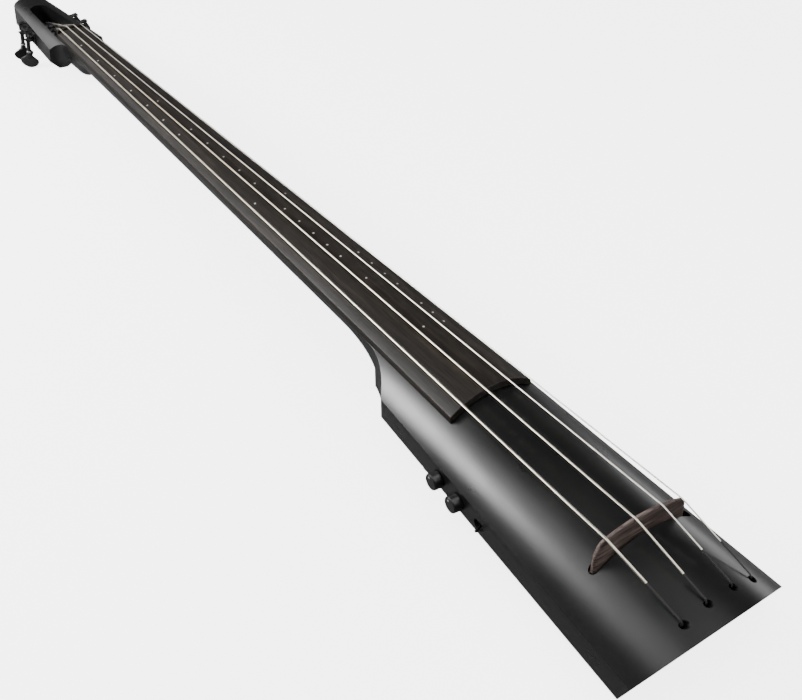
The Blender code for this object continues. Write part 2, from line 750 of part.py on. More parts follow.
def build_height_screws(body):
    """Two thumbwheel studs carry the bridge over the floor of its pocket."""
    wheel, stud, foot = 0.0034, 0.0017, BRIDGE_FOOT - GAP
    shape = [(0.0, 0.0), (wheel - 0.0006, 0.0), (wheel, 0.0006), (wheel, 0.0040),
             (wheel - 0.0006, 0.0046), (stud, 0.0046), (stud, 0.0240), (0.0, 0.0240)]
    for side, word in ((-1, "bass"), (1, "treble")):
        x = side * HEIGHT_SCREW_X
        bore = rod("height_bore_" + word, stud + GAP, -0.062, -0.03, "z", (x, -SCALE_LENGTH), 16)
        cut(body, add_cutter("height_bore_" + word, bore))
        profile = [(radius, foot - depth) for radius, depth in shape]
        screw = turned("bridge_height_screw_" + word, profile, BRASS, root, sides=16)
        screw.location = (x, -SCALE_LENGTH, 0.0)


def build_strings():
    """Each string: ball end in the back, up through the body, over bridge and nut, round its post."""
    for index, name in enumerate(STRING_NAMES):
        hole = hole_frame(index)
        mouth = hole.to_translation()
        nut = nut_point(index)
        bridge = bridge_point(index)
        points = [hole @ Vector((0, 0, BALL_HOLE_DEPTH + GAP - hole_length(index))),
                  hole @ Vector((0, 0, -0.0050)), hole @ Vector((0, 0.0004, -0.0012)),
                  between(mouth, bridge, 0.05) + Vector((0, 0, 0.0013)),
                  bridge + Vector((0, -0.0030, -0.0003)), bridge, bridge + Vector((0, 0.0030, 0.0)),
                  nut + Vector((0, -0.0010, 0)), nut + Vector((0, 0.0028, -0.0001))]
        points += post_winding(name, index)
        mesh = tube_mesh("string_" + name, points, STRING_RADIUS[index])
        add_part("string_" + name, mesh, STEEL)


def post_winding(name, index):
    """Turns of a helix round the post, from its top towards its own machine."""
    side = TUNER_SIDE[name]
    tilt = Matrix.Rotation(-side * WALL_LEAN, 3, "Y")
    wind = (POST_RADIUS + STRING_RADIUS[index] + GAP) / math.cos(math.radians(22.5))
    pitch = 2 * STRING_RADIUS[index] + 0.0004
    start_x = side * 0.0010
    points = []
    for i in range(15):
        angle = math.radians(70 - 45 * i)
        along = start_x + side * pitch * i / 8
        local = Vector((along, wind * math.cos(angle), wind * math.sin(angle)))
        points.append(Vector((0, POST_Y[name], POST_Z)) + tilt @ local)
    return points


def build_ball_ends():
    """A brass ferrule holds each string's ball in the back of the body."""
    wide = FERRULE_RADIUS
    for index, name in enumerate(STRING_NAMES):
        low = FERRULE_SINK - hole_length(index)
        high = BALL_HOLE_DEPTH - GAP - hole_length(index)
        profile = [(0.0, high), (wide, high), (wide, low + 0.0007), (wide - 0.0007, low), (0.0, low)]
        ferrule = turned("string_ferrule_" + name, profile, BRASS, root, sides=16)
        ferrule.matrix_local = hole_frame(index)


# ---- tuning machines ------------------------------------------------------------------
def tuner_frame(name):
    """Frame of one machine: +X out of its cheek along the post, +Y to its worm, +Z up the worm."""
    side = TUNER_SIDE[name]
    y = POST_Y[name]
    lean = Matrix.Rotation(-side * WALL_LEAN, 4, "Y")
    face = Matrix.Translation((side * post_seat(y), 0.0, 0.0))
    flip = Matrix.Scale(side, 4, (1, 0, 0))
    return Matrix.Translation((0.0, y, POST_Z)) @ lean @ face, flip


def post_seat(y):
    """Distance along the post from the middle of the pegbox to the plate on the cheek."""
    return head_half(y) + (head_edge(y) - POST_Z) * math.tan(WALL_LEAN) + GAP


def to_machine(mesh, flip):
    """Mirror a mesh made for the +X cheek when it goes on the -X cheek."""
    if flip[0][0] < 0:
        mesh.transform(flip)
        mesh.flip_normals()
    return mesh


def wheel_mesh():
    """Worm wheel: trapezoid teeth, leaning to follow the thread across the face."""
    outer = WHEEL_PITCH_RADIUS + ADDENDUM
    inner = WHEEL_PITCH_RADIUS - DEDENDUM
    step = 2 * math.pi / WHEEL_TEETH
    lead = WORM_PITCH / (2 * math.pi * WORM_PITCH_RADIUS)
    rings = []
    for x in (-WHEEL_FACE / 2, WHEEL_FACE / 2):
        shift = x * lead / WHEEL_PITCH_RADIUS
        ring = []
        for tooth in range(WHEEL_TEETH):
            middle = tooth * step + step / 2 + shift
            for radius, share in ((inner, -0.29), (outer, -0.12), (outer, 0.12), (inner, 0.29)):
                angle = middle + share * step
                ring.append(Vector((WHEEL_MID + x, radius * math.cos(angle), radius * math.sin(angle))))
        rings.append(ring)
    return loft("worm_wheel", rings)


def thread_mesh():
    """One helical ridge with a trapezoid section, long enough for the worm."""
    crest = WORM_PITCH_RADIUS + ADDENDUM
    buried = WORM_SHAFT_RADIUS - 0.0003
    section = ((buried, -0.29), (crest, -0.10), (crest, 0.10), (buried, 0.29))
    sides = 10
    turns = int(sides * WORM_TURNS)
    rings = []
    for i in range(turns + 1):
        turn = (i - turns / 2) / sides
        angle = math.pi + 2 * math.pi * turn
        ring = []
        for radius, share in section:
            height = (turn + share) * WORM_PITCH
            ring.append(Vector((-radius * math.sin(angle), radius * math.cos(angle), height)))
        rings.append(ring)
    return loft("thread", rings)


def build_tuner(name):
    """Plate with two bearing lugs, worm with its shaft, worm wheel, string post and button."""
    side = TUNER_SIDE[name]
    frame, flip = tuner_frame(name)
    hub = bpy.data.objects.new("tuner_frame_" + name, None)
    hub.matrix_world = frame
    parts.objects.link(hub)
    hub.parent = root

    plate = box("tuner_plate", PLATE_LOW, PLATE_HIGH)
    plate = add_part("tuner_plate_" + name, to_machine(plate, flip), BLACK_METAL, hub)
    for word, level in (("upper", WORM_HALF + 0.0004), ("lower", -WORM_HALF - 0.0004 - LUG_THICK)):
        lug = box("lug", (0.0, WORM_AXIS - LUG_HALF, level),
                  (WHEEL_MID + LUG_HALF - 0.0002, WORM_AXIS + LUG_HALF, level + LUG_THICK))
        cut(plate, add_cutter("lug_%s_%s" % (word, name), to_machine(lug, flip), hub), "UNION")
    bearing = rod("bearing", JOURNAL_RADIUS + RUNNING_FIT, -0.02, 0.02, "z", (WHEEL_MID, WORM_AXIS), 12)
    cut(plate, add_cutter("bearing_" + name, to_machine(bearing, flip), hub))
    eye = rod("post_eye", POST_RADIUS + RUNNING_FIT, -0.01, 0.004, "x", (0.0, 0.0), 16)
    cut(plate, add_cutter("post_eye_" + name, to_machine(eye, flip), hub))

    wheel = add_part("worm_wheel_" + name, to_machine(wheel_mesh(), flip), BRASS, hub)
    bore = rod("wheel_bore", WHEEL_BORE + GAP, -0.01, 0.02, "x", (0.0, 0.0), 16)
    cut(wheel, add_cutter("wheel_bore_" + name, to_machine(bore, flip), hub))

    post = add_part("string_post_" + name, to_machine(post_mesh(name), flip), STEEL, hub)

    worm_place = Vector((side * WHEEL_MID, WORM_AXIS, 0.0))
    worm = turned("worm_" + name, worm_profile(), BLACK_METAL, hub, sides=12)
    worm.location = worm_place
    thread = thread_mesh()
    if side < 0:
        thread.transform(Matrix.Scale(-1, 4, (1, 0, 0)))
        thread.flip_normals()
    ridge = add_cutter("thread_" + name, thread, hub)
    ridge.location = worm_place
    cut(worm, ridge, "UNION")

    button = add_part("tuner_button_" + name, button_mesh(), BLACK_PLASTIC, hub)
    button.location = worm_place
    button.rotation_euler = (0.0, 0.0, BUTTON_TURN[name])
    socket = rod("button_socket", BUTTON_STEM / 2 + GAP, WORM_END - GAP, 0.0, "z", (0.0, 0.0), 16)
    socket = add_cutter("button_socket_" + name, socket, hub)
    socket.location = worm_place
    cut(button, socket)


def worm_profile():
    """The worm's shaft, from the top: journals in the two lugs, collar, and a stem for the button."""
    journal, worm, stem = JOURNAL_RADIUS, WORM_SHAFT_RADIUS, BUTTON_STEM / 2
    under = -WORM_HALF - LUG_THICK - 0.0008
    return [(0.0, WORM_HALF + 0.0040), (journal - 0.0003, WORM_HALF + 0.0040),
            (journal, WORM_HALF + 0.0036), (journal, WORM_HALF), (worm, WORM_HALF),
            (worm, -WORM_HALF), (journal, -WORM_HALF), (journal, under),
            (journal + 0.0012, under), (journal + 0.0012, COLLAR_TOP), (BUTTON_STEM, COLLAR_TOP),
            (BUTTON_STEM, BUTTON_TOP), (stem, BUTTON_TOP), (stem, WORM_END), (0.0, WORM_END)]


def post_mesh(name):
    """String post: a bar across the pegbox, with a thinner end that carries the wheel."""
    shoulder = WHEEL_MID - WHEEL_FACE / 2 - GAP
    profile = [(WHEEL_MID + WHEEL_FACE / 2 + 0.0012, WHEEL_BORE), (shoulder, WHEEL_BORE),
               (shoulder, POST_RADIUS), (post_inner_end(name), POST_RADIUS)]
    turns = [math.radians(22.5 * i) for i in range(16)]
    rings = [[Vector((x, radius * math.cos(turn), radius * math.sin(turn))) for turn in turns]
             for x, radius in profile]
    return loft("string_post", rings)


def post_inner_end(name):
    """The far end of the post, seated 4 mm deep in the cheek opposite its machine."""
    return -(post_seat(POST_Y[name]) + pegbox_half(POST_Y[name]) + 0.004)


def pegbox_half(y):
    share = (y - PEGBOX_NEAR_Y) / (PEGBOX_FAR_Y - PEGBOX_HALF_FAR - PEGBOX_NEAR_Y)
    return between(PEGBOX_HALF_NEAR, PEGBOX_HALF_FAR, share)


def build_post_bores(neck):
    """Each post crosses the pegbox: a bore through its own cheek, a blind one opposite, a flat seat."""
    for name in STRING_NAMES:
        frame, flip = tuner_frame(name)
        bore = rod("post_bore", POST_RADIUS + RUNNING_FIT, post_inner_end(name) - GAP, 0.01, "x",
                   (0.0, 0.0), 16)
        low = Vector(PLATE_LOW) - Vector((GAP, GAP, 0.0200))
        high = Vector(PLATE_HIGH) + Vector((0.01, GAP, 0.0200))
        for mesh in (bore, box("machine_seat", low, high)):
            tool = add_cutter("%s_%s" % (mesh.name, name), to_machine(mesh, flip))
            tool.matrix_local = frame
            cut(neck, tool)


def button_ring(z):
    """Section of a tuner button: a round stem that spreads into a flat, rounded paddle."""
    share = (BUTTON_TOP - GAP - z) / (BUTTON_TOP - GAP - BUTTON_END)
    spread = smooth_step((share - 0.10) / 0.42)
    half = between(BUTTON_STEM, BUTTON_HALF, spread)
    thick = between(BUTTON_STEM, 0.0024, smooth_step(share / 0.5))
    if share > 0.52:
        end = (share - 0.52) / 0.49
        half *= math.sqrt(1 - end * end)
        thick *= 1 - 0.45 * end ** 3
    turns = [math.radians(30 * i) for i in range(12)]
    return [Vector((thick * math.sin(turn), half * math.cos(turn), z)) for turn in turns]


def button_mesh():
    return loft("tuner_button", [button_ring(z) for z in steps(BUTTON_TOP - GAP, BUTTON_END, 9)])


# ---- controls ---------------------------------------------------------------------------
def side_frame(name, y, side):
    """Frame on a side wall: +Z out of the wall, at the middle of its height."""
    splay = math.atan2(TAIL_HALF - SHOULDER_HALF, SHOULDER_Y - TAIL_Y)
    middle = (body_crease(y) + body_back(y)) / 2
    turn = Matrix.Rotation(side * splay, 4, "Z") @ Matrix.Rotation(side * math.radians(90), 4, "Y")
    hub = bpy.data.objects.new(name, None)
    hub.matrix_world = Matrix.Translation((side * body_half(y), y, middle)) @ turn
    parts.objects.link(hub)
    hub.parent = root
    return hub


def side_bore(body, name, hub, radius, depth, recess=None):
    """A bore into the side wall, with a wider recess at its mouth where one is given."""
    tool = rod(name, radius, -depth, 0.02, "z", (0.0, 0.0), 20)
    cut(body, add_cutter(name, tool, hub))
    if recess is not None:
        half_length, half_width, deep = recess
        mouth = stadium(name + "_recess", half_length, half_width, -deep, 0.02, (0.0, 0.0), "y")
        cut(body, add_cutter(name + "_recess", mouth, hub))


def pot_profile(shaft, case):
    """A potentiometer from its open mouth, under the side wall: bushing, case, blind bore."""
    mouth, front, back, floor = -0.0010, -0.0140, -0.0220, -0.0150
    return [(shaft + 0.0006, mouth), (shaft + 0.0006, front), (case, front), (case, back),
            (0.0, back), (0.0, floor), (shaft + GAP, floor), (shaft + GAP, mouth),
            (shaft + 0.0006, mouth)]


def knob_profile(shaft):
    """A knob with a bevelled rim, hollow for the end of its shaft."""
    rim, top, low = KNOB_RADIUS, KNOB_TOP, 0.0006
    hollow = shaft + 0.0004
    return [(0.0, top - 0.0004), (rim - 0.0016, top - 0.0004), (rim - 0.0010, top),
            (rim - 0.0004, top - 0.0003), (rim, top - 0.0012), (rim + 0.0003, 2 * low),
            (rim - 0.0004, low), (hollow, low), (hollow, 0.0064), (0.0, 0.0064)]


def build_knob(body, word):
    """Potentiometer in the cavity, its shaft through the side wall, and a bevelled knob."""
    shaft, case, low, high = 0.0030, 0.0075, -0.0145, 0.0060
    hub = side_frame("%s_frame" % word, KNOB_Y[word], -1)
    side_bore(body, word + "_bore", hub, shaft + 0.0008, 0.030)
    turned(word + "_pot", pot_profile(shaft, case), STEEL, hub, sides=16)
    bar = [(0.0, high), (shaft, high), (shaft, low), (0.0, low)]
    turned(word + "_shaft", bar, STEEL, hub, sides=16)
    turned(word + "_knob", knob_profile(shaft), BLACK_PLASTIC, hub, sides=18)


def build_switch(body):
    """Mini toggle in a long recess of the side wall, its lever leaning on a pivot in its mouth."""
    inner, bushing, case = 0.0025, 0.0033, 0.0055
    mouth, front, back, floor = -0.0032, -0.0130, -0.0205, -0.0115
    hub = side_frame("switch_frame", SWITCH_Y, -1)
    side_bore(body, "switch_bore", hub, bushing + GAP, 0.030, (0.0062, 0.0042, 0.0030))
    turned("mode_switch", [(inner, mouth), (bushing, mouth), (bushing, front), (case, front),
                           (case, back), (0.0, back), (0.0, floor), (inner, floor), (inner, mouth)],
           BLACK_METAL, hub, sides=16)
    lever = empty("switch_lever_frame", (0.0, 0.0, -SWITCH_PIVOT), (SWITCH_LEAN, 0.0, 0.0), hub)
    tip, bulb, stem, tail = 0.0118, 0.0013, 0.0007, -0.0030
    turned("mode_switch_lever", [(0.0, tip), (0.7 * bulb, tip - 0.0004), (bulb, tip - 0.0014),
                                 (0.8 * bulb, tip - 0.0030), (stem, 0.0020), (stem, tail), (0.0, tail)],
           STEEL, lever, sides=12)


def build_jack(body):
    """Output socket on the G string side: open sleeve, and a nut in a shallow recess."""
    sleeve, outer, mouth, floor, back = 0.0034, 0.0047, -0.0005, -0.0340, -0.0380
    hub = side_frame("jack_frame", JACK_Y, 1)
    side_bore(body, "jack_bore", hub, outer + GAP, 0.045, (0.0086, 0.0080, 0.0030))
    turned("output_jack", [(sleeve, mouth), (outer, mouth), (outer, back), (0.0, back),
                           (0.0, floor), (sleeve, floor), (sleeve, mouth)], STEEL, hub, sides=20)
    mesh = rod("jack_nut", 0.0075, -0.0027, -GAP, "z", (0.0, 0.0), 6)
    nut = add_part("jack_nut", mesh, STEEL, hub)
    bore = rod("jack_nut_bore", outer + GAP, -0.01, 0.01, "z", (0.0, 0.0), 20)
    cut(nut, add_cutter("jack_nut_bore", bore, hub))


def build_circuit_board():
    """Preamplifier board, under the roof of the control cavity."""
    mesh = box("circuit_board", (-0.0250, -1.0000, CAVITY_ROOF - 0.0036),
               (0.0250, -0.9000, CAVITY_ROOF - 0.0020))
    return add_part("circuit_board", mesh, CIRCUIT)


# ---- stand plate ---------------------------------------------------------------------
def build_stand_plate(body):
    """Steel plate let into the back, where a stand or a strap bar is bolted on."""
    low, high = STAND_Y
    recess = box("stand_recess", (-STAND_HALF - GAP, low - GAP, -0.02),
                 (STAND_HALF + GAP, high + GAP, STAND_THICK + GAP))
    recess = add_cutter("stand_recess", recess)
    lay_on_back(recess)
    cut(body, recess)
    mesh = box("stand_plate", (-STAND_HALF, low, 0.0), (STAND_HALF, high, STAND_THICK))
    plate = add_part("stand_plate", mesh, BLACK_METAL)
    lay_on_back(plate)
    return plate


# ---- assembly --------------------------------------------------------------------------
build_fingerboard()
body = build_body()
build_cavity_cover()
neck = build_neck()
build_post_bores(neck)
build_truss_rod()
build_nut()
build_bridge()
build_pickup()
build_height_screws(body)
build_strings()
build_ball_ends()
for machine in STRING_NAMES:
    build_tuner(machine)
for control in KNOB_Y:
    build_knob(body, control)
build_switch(body)
build_jack(body)
build_circuit_board()
build_stand_plate(body)
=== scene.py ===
"""Visual model of the slim solid-body electric upright double bass, round its CAD frame.

The forms are those of the CAD part, drawn finer, with bevelled edges, fittings and finishes.
Three places follow the real thing more closely than the CAD: the heel is shallower, the mouths
of the string holes are narrower, and the wave between the volute and the head is fuller.
The strings bed into their grooves by STRING_SETTLE, to stay inside the size of the CAD.
They are made in the design frame (middle of the nut at string height is the origin, +Y to
the head, +Z up) and carried into the finished frame by DESIGN.
"""
from math import asin, atan2, copysign, cos, exp, pi, radians, sin, sqrt, tan

import bmesh
import bpy
from mathutils import Matrix, Vector


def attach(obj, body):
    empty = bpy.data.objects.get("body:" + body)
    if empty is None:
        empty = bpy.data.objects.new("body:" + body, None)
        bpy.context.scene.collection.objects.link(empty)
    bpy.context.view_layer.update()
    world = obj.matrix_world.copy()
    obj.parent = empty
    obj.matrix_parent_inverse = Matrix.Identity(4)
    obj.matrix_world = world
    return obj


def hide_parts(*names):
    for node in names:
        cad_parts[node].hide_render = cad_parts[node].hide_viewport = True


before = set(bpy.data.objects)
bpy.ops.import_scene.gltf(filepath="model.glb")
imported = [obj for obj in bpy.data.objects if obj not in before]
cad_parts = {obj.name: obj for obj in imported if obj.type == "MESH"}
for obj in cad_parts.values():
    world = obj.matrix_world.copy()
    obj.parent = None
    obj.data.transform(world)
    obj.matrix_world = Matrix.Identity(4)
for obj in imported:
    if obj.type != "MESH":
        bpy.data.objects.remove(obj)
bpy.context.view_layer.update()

# ---- driving dimensions ----
GAP = 0.0003  # clearance between touching pieces
SCALE_LENGTH = 1.060  # nut to bridge

FRAME_SHIFT = Vector((0.0, 0.48316, 0.07464))  # design frame to finished frame
LYING_TILT = -0.01505  # radians: the tail and the tuner buttons lie level

# strings, from the low E to the high G
STRING_NAMES = ("e", "a", "d", "g")
STRING_RADIUS = (0.00105, 0.00088, 0.00070, 0.00058)
NUT_SPREAD = 0.0145  # half the distance between the outer strings
NUT_STRING_ARC = 0.0726
BRIDGE_STRING_X = (-0.0385, -0.0115, 0.0135, 0.0355)
BRIDGE_STRING_Z = (-0.0050, -0.0015, -0.0023, -0.0096)
HOLE_X = (-0.0338, -0.0123, 0.0123, 0.0330)
HOLE_Y = -1.1315
HOLE_RADIUS = 0.0022
HOLE_MOUTH_RADIUS = 0.0031  # countersink, at the surface of the top
HOLE_MOUTH_DEPTH = 0.0022
BALL_HOLE_RADIUS = 0.0060  # counterbore in the back, for the ball end
BALL_HOLE_DEPTH = 0.0145
FERRULE_RADIUS = 0.0057
FERRULE_SINK = 0.0035  # how far the ferrule's face lies inside the back

# fingerboard
BOARD_END = 0.839  # end of the board, as a share of the string length
BOARD_HALF_NUT = 0.0200
BOARD_HALF_END = 0.0414
BOARD_DROP_NUT = 0.0017  # crown of the board below the strings
BOARD_DROP_SLOPE = 0.0043
BOARD_ARC_NUT = 0.0476  # radius of the playing surface
BOARD_ARC_SLOPE = 0.0267
BOARD_THICK = 0.0068
BOARD_POINTS = 41  # across the crowned board, and the neck under it

# nut and bridge
NUT_LENGTH = 0.0046
NUT_SEAT = -0.0130  # floor of the nut's seat in the neck
BRIDGE_LEFT = -0.0478
BRIDGE_RIGHT = 0.0402
BRIDGE_CREST = (-0.0080, -0.0014)  # x and z of the top of the arch
BRIDGE_ARC = 0.112
BRIDGE_FOOT = -0.0345
BRIDGE_FOOT_HALF = 0.0024  # half thickness at the foot and at the top
BRIDGE_TOP_HALF = 0.0015
POCKET_HALF = (0.0492, 0.0040)  # half length and half width
POCKET_FLOOR = -0.0400
PIEZO_HALF = (0.0300, 0.0010)
PIEZO_HIGH = 0.0028
HEIGHT_SCREW_X = 0.0330

# body
SHOULDER_Y = -0.8197
TAIL_Y = -1.1308
SHOULDER_HALF = 0.0592
TAIL_HALF = 0.0736
CREASE_SHOULDER = -0.0432  # height of the edge between top and side
CREASE_TAIL = -0.0664
BACK_SHOULDER = -0.0666
BACK_SLOPE = 0.0829
CROWN_BOARD = -0.0133  # height of the crown of the top under the board
CROWN_TAIL = -0.0189
TAIL_RAKE = radians(23.1)  # the tail is cut off on a slope, longest at the top
BODY_POINTS = 97  # across the arched top
BACK_ROUND = 0.004  # bevel between side and back
JOINT_Y = -0.7781  # neck heel meets the body here
HEEL_HALF = 0.0385
COVE_Y = -0.7630  # where the coves between neck and shoulders begin
COVE_RADIUS = 0.078
CAVITY = ((-0.0550, -1.0050), (0.0300, -0.8850))  # control cavity, seen from the back
CAVITY_ROOF = -0.0450
COVER_THICK = 0.0020
COVER_LEDGE = 0.0060
STAND_HALF = 0.0250  # steel plate for a stand, let into the back
STAND_Y = (-0.868, -0.836)
STAND_THICK = 0.0030

# neck and head
NECK_DEPTH_NUT = 0.0170
NECK_DEPTH_HEEL = 0.0188
BACK_POINTS = 31  # round the back of the neck
NECK_EDGE = 0.0020  # straight side between the board and the round back
HEEL_LENGTH = 0.066
HEEL_DEPTH = 0.0175  # added to the depth at the joint
VOLUTE_Y = -0.038
VOLUTE_LENGTH = 0.021
VOLUTE_DEPTH = 0.0205
TRUSS_RADIUS = 0.0026
TRUSS_Y = (-0.760, -0.025)
TRUSS_FLOOR = -0.0200
HEAD_SHOULDER_Y = -0.0064
HEAD_HALF_NEAR = 0.0350
HEAD_HALF_FAR = 0.0248
HEAD_FAR_Y = 0.161
HEAD_END = 0.0240  # length of the round end
HEAD_FILLET = 0.030  # length of the hollow between neck and shoulder
HEAD_EDGE_NEAR = -0.0200
HEAD_EDGE_SLOPE = -0.033
HEAD_SIDE = 0.0180  # height of the side walls
HEAD_BELLY = 0.0285  # from the top edge to the rounded back of the head
HEAD_ARC = 0.070
WALL_LEAN = radians(7.0)  # the head's side walls splay outwards, going down
PEGBOX_HALF_NEAR = 0.0195
PEGBOX_HALF_FAR = 0.0125
PEGBOX_NEAR_Y = 0.0065
PEGBOX_FAR_Y = 0.140
PEGBOX_FLOOR = -0.0412

# tuning machines
TUNER_SIDE = {"e": -1, "a": -1, "d": 1, "g": 1}
POST_Y = {"e": 0.0675, "a": 0.0975, "d": 0.0825, "g": 0.0535}
POST_RADIUS = 0.0045
POST_Z = -0.0325  # at the middle of the pegbox
WHEEL_TEETH = 14
WORM_PITCH = 0.0026
WHEEL_PITCH_RADIUS = WHEEL_TEETH * WORM_PITCH / (2 * pi)
WORM_PITCH_RADIUS = 0.0029
ADDENDUM = 0.00070
DEDENDUM = 0.00100
WHEEL_FACE = 0.0030
WHEEL_BORE = 0.0030
WHEEL_MID = 0.0057  # mid plane of the wheel, out from the cheek
WORM_SHAFT_RADIUS = WORM_PITCH_RADIUS - DEDENDUM
WORM_TURNS = 3.0
JOURNAL_RADIUS = WORM_SHAFT_RADIUS - 0.0004
RUNNING_FIT = 0.00012  # nominal, between many-sided bores and shafts
WORM_AXIS = WHEEL_PITCH_RADIUS + WORM_PITCH_RADIUS
PLATE_THICK = 0.0016
PLATE_LOW = (0.0, -0.0076, -0.0082)
PLATE_HIGH = (PLATE_THICK, WORM_AXIS + 0.0046, 0.0060)
WORM_HALF = WORM_PITCH * WORM_TURNS / 2 + 0.0012
LUG_THICK = 0.0022
LUG_HALF = 0.0040
WORM_END = -0.0380  # lower end of the worm's shaft, inside its button
COLLAR_TOP = -0.0215
BUTTON_TOP = -0.0245
BUTTON_END = -0.0450
BUTTON_HALF = 0.0132
BUTTON_STEM = 0.0034
BUTTON_TURN = {"e": radians(48), "a": radians(88),
               "d": radians(-20), "g": radians(35)}

# controls on the E string side
KNOB_Y = {"volume": -0.904, "tone": -0.931}
KNOB_RADIUS = 0.0073
KNOB_TOP = 0.0085  # knob face, out from the side wall
SWITCH_Y = -0.9585
SWITCH_PIVOT = 0.0050  # depth of the lever's pivot under the side wall
SWITCH_LEAN = radians(20.0)
JACK_Y = -0.945

# drawn finer here than in the CAD
VOLUTE_FALL = 0.08  # share of the volute's depth lost on the way to the head
VOLUTE_WIDEN = 0.22
STRING_SETTLE = 0.00015  # a string beds this far into its groove in the bridge
SILK_START = (-1.098, -1.108, -1.101, -1.100)  # y where the tail silk begins on each string
DOT_ROWS = (  # x at the nut and how far it spreads, then the semitones marked
    ((-0.0098, -0.0152), (1, 2, 3, 4, 5, 6, 7, 12)),
    ((0.0, 0.0), (5, 7, 8, 9, 10, 11, 13, 14, 15, 16, 17, 19, 24)),
    ((0.0100, 0.0154), (12, 17, 18, 19, 20, 22, 23, 24)),
)
DOT_RADIUS = 0.00105
SWITCH_HOLE = 0.0033 + GAP
KNOB_HOLE = 0.0038
JACK_HOLE = 0.0047 + GAP
LEVER_BULB = 0.0013
LEVER_STEM = 0.0007
STAND_BORE = 0.0030
STAND_BORE_X = 0.0120
CUT_ABOVE = 0.02  # cutters rise this far over the surface that they open
CUT_BELOW = -0.12  # and start here where they come from under the back
SIDE_CUT = -0.030  # depth of the control bores in the side wall
JACK_CUT = -0.045
COVE_SIDES = 360
HEIGHT_SCREW_HOLE = 0.0017 + GAP
HEIGHT_SCREW_SPAN = (-0.062, -0.030)
SWITCH_MOUTH = (0.0062, 0.0042, -0.0030)  # half length, half width and floor of a side recess
JACK_MOUTH = (0.0086, 0.0080, -0.0030)
COVE_SECTION_Y = -0.785  # sections of the body are denser in the coves, up to the shoulder
STRAIGHT_SECTION_Y = -0.835
PAST_TAIL_Y = -1.19
NECK_SPAN = (-0.66, -0.15)  # plain neck, with few sections
VOLUTE_SPAN = (-0.125, -0.004)
FILLET_REACH = 0.013  # width of the hollow between neck and shoulder
FILLET_STEPS = 24
END_STEPS = 30  # round the far end of the head
CROWN_HALF = 0.055  # cutter that arches the head's top
LUG_CLEARANCE = 0.0004  # between a lug and the end of the worm
PLATE_SCREWS = ((-0.0056, 0.0040), (-0.0056, -0.0062), (0.0001, -0.0069))
PLATE_SCREW_HEAD = (0.0014, 0.0007)  # radius and height
STRING_EYE = 0.0011  # hole through a post, for the end of the string
EYE_FROM_SEAT = 0.0035
DRIVE_SLOT = (0.0008, 0.0022, 0.0003)  # depth, half length and half width, in the end of a post
WASHER_PROFILE = ((0.0032, 0.0004), (0.0062, 0.0004), (0.0064, 0.0002), (0.0064, 0.0001),
                  (0.0032, 0.0001), (0.0032, 0.0004))
SWITCH_COLLAR_PROFILE = ((0.0026, -0.0022), (0.0038, -0.0022), (0.0041, -0.0025),
                         (0.0041, -0.0029), (0.0026, -0.0029), (0.0026, -0.0022))
MARK_RADIUS = 0.0009  # dot on top of a knob
MARK_PLACE = (0.0032, 0.0022)
LEVER_ENDS = (0.0118, -0.0030)
JACK_NUT_RADIUS = 0.0075
JACK_NUT_BORE = 0.0049
COVER_SCREW_OUT = 0.003  # from the edge of the cavity
STAND_SCREW_X = 0.0215
STAND_SCREW_IN = 0.0035
BACK_SCREW_HEAD = (0.0019, 0.0004)
FERRULE_MOUTH = (0.0032, 0.0026)  # radius at the face and behind the chamfer
FERRULE_CHAMFER = 0.0006
STRING_BALL = 0.0023
BRIDGE_ROUND_LEFT = 0.0090  # rounded ends of the bridge
BRIDGE_ROUND_RIGHT = 0.0060
STRING_REST = 0.0030  # a string runs straight this far on each side of the bridge
SILK_LAP = 0.0006  # the wound length starts this far under the silk
WRAP_RIDGE = 0.00001
WAVE_BANDS = 20.0  # radians per metre of a wave texture of scale 1
WIRE_RESOLUTION = 5
WELD = 0.00001

# studio
AXIS_X = Matrix.Rotation(radians(90), 4, "Y")
AXIS_Y = Matrix.Rotation(radians(-90), 4, "X")
WORLD_STRENGTH = 0.07
FLOOR_GLOW = 4.0
BACKDROP_GLOW = FLOOR_GLOW + 0.8
STAGE_RADIUS = 9.0
STAGE_WHITE = 0.90
REFLECTED_GREY = 0.16
REFLECTED_DROP = 0.0005
LIGHTS = (  # name, place, target, width, height, power
    ("key", (-1.22, 0.80, 0.80), (0.0, -0.35, 0.05), 0.75, 0.5, 40.0),
    ("fill", (-1.7, 0.5, 1.6), (0.0, -0.6, 0.0), 1.5, 1.5, 13.0),
    ("far", (-1.3, 2.2, 1.9), (0.0, -0.3, 0.0), 1.6, 1.2, 20.0),
    ("top", (0.0, -0.8, 3.2), (0.0, 0.0, 0.0), 3.0, 2.0, 60.0),
    ("side", (2.4, 0.0, 0.32), (0.0, -0.6, 0.0), 1.3, 0.8, 11.0),
    ("head", (-0.30, 2.4, 1.0), (0.0, 0.55, 0.05), 0.6, 0.4, 3.6),
    ("back", (1.6, -2.4, 1.9), (0.0, 0.2, 0.0), 2.0, 1.4, 40.0),
    ("edge", (1.2, -1.95, 1.7), (0.0, -0.4, 0.05), 0.5, 0.5, 9.0),
)
CAMERA_PLACE = (-0.4378, -1.3954, 0.5581)  # in the design frame, as are its directions
CAMERA_AHEAD = (0.4451, 0.6452, -0.6209)
CAMERA_RIGHT = (0.8205, -0.5716, -0.0057)
CAMERA_LENS = 49.03
CAMERA_SENSOR = 36.0
CAMERA_CLIP = 0.01


def to_mesh(bm, name):
    bmesh.ops.recalc_face_normals(bm, faces=bm.faces)
    mesh = bpy.data.meshes.new(name)
    bm.to_mesh(mesh)
    bm.free()
    return mesh


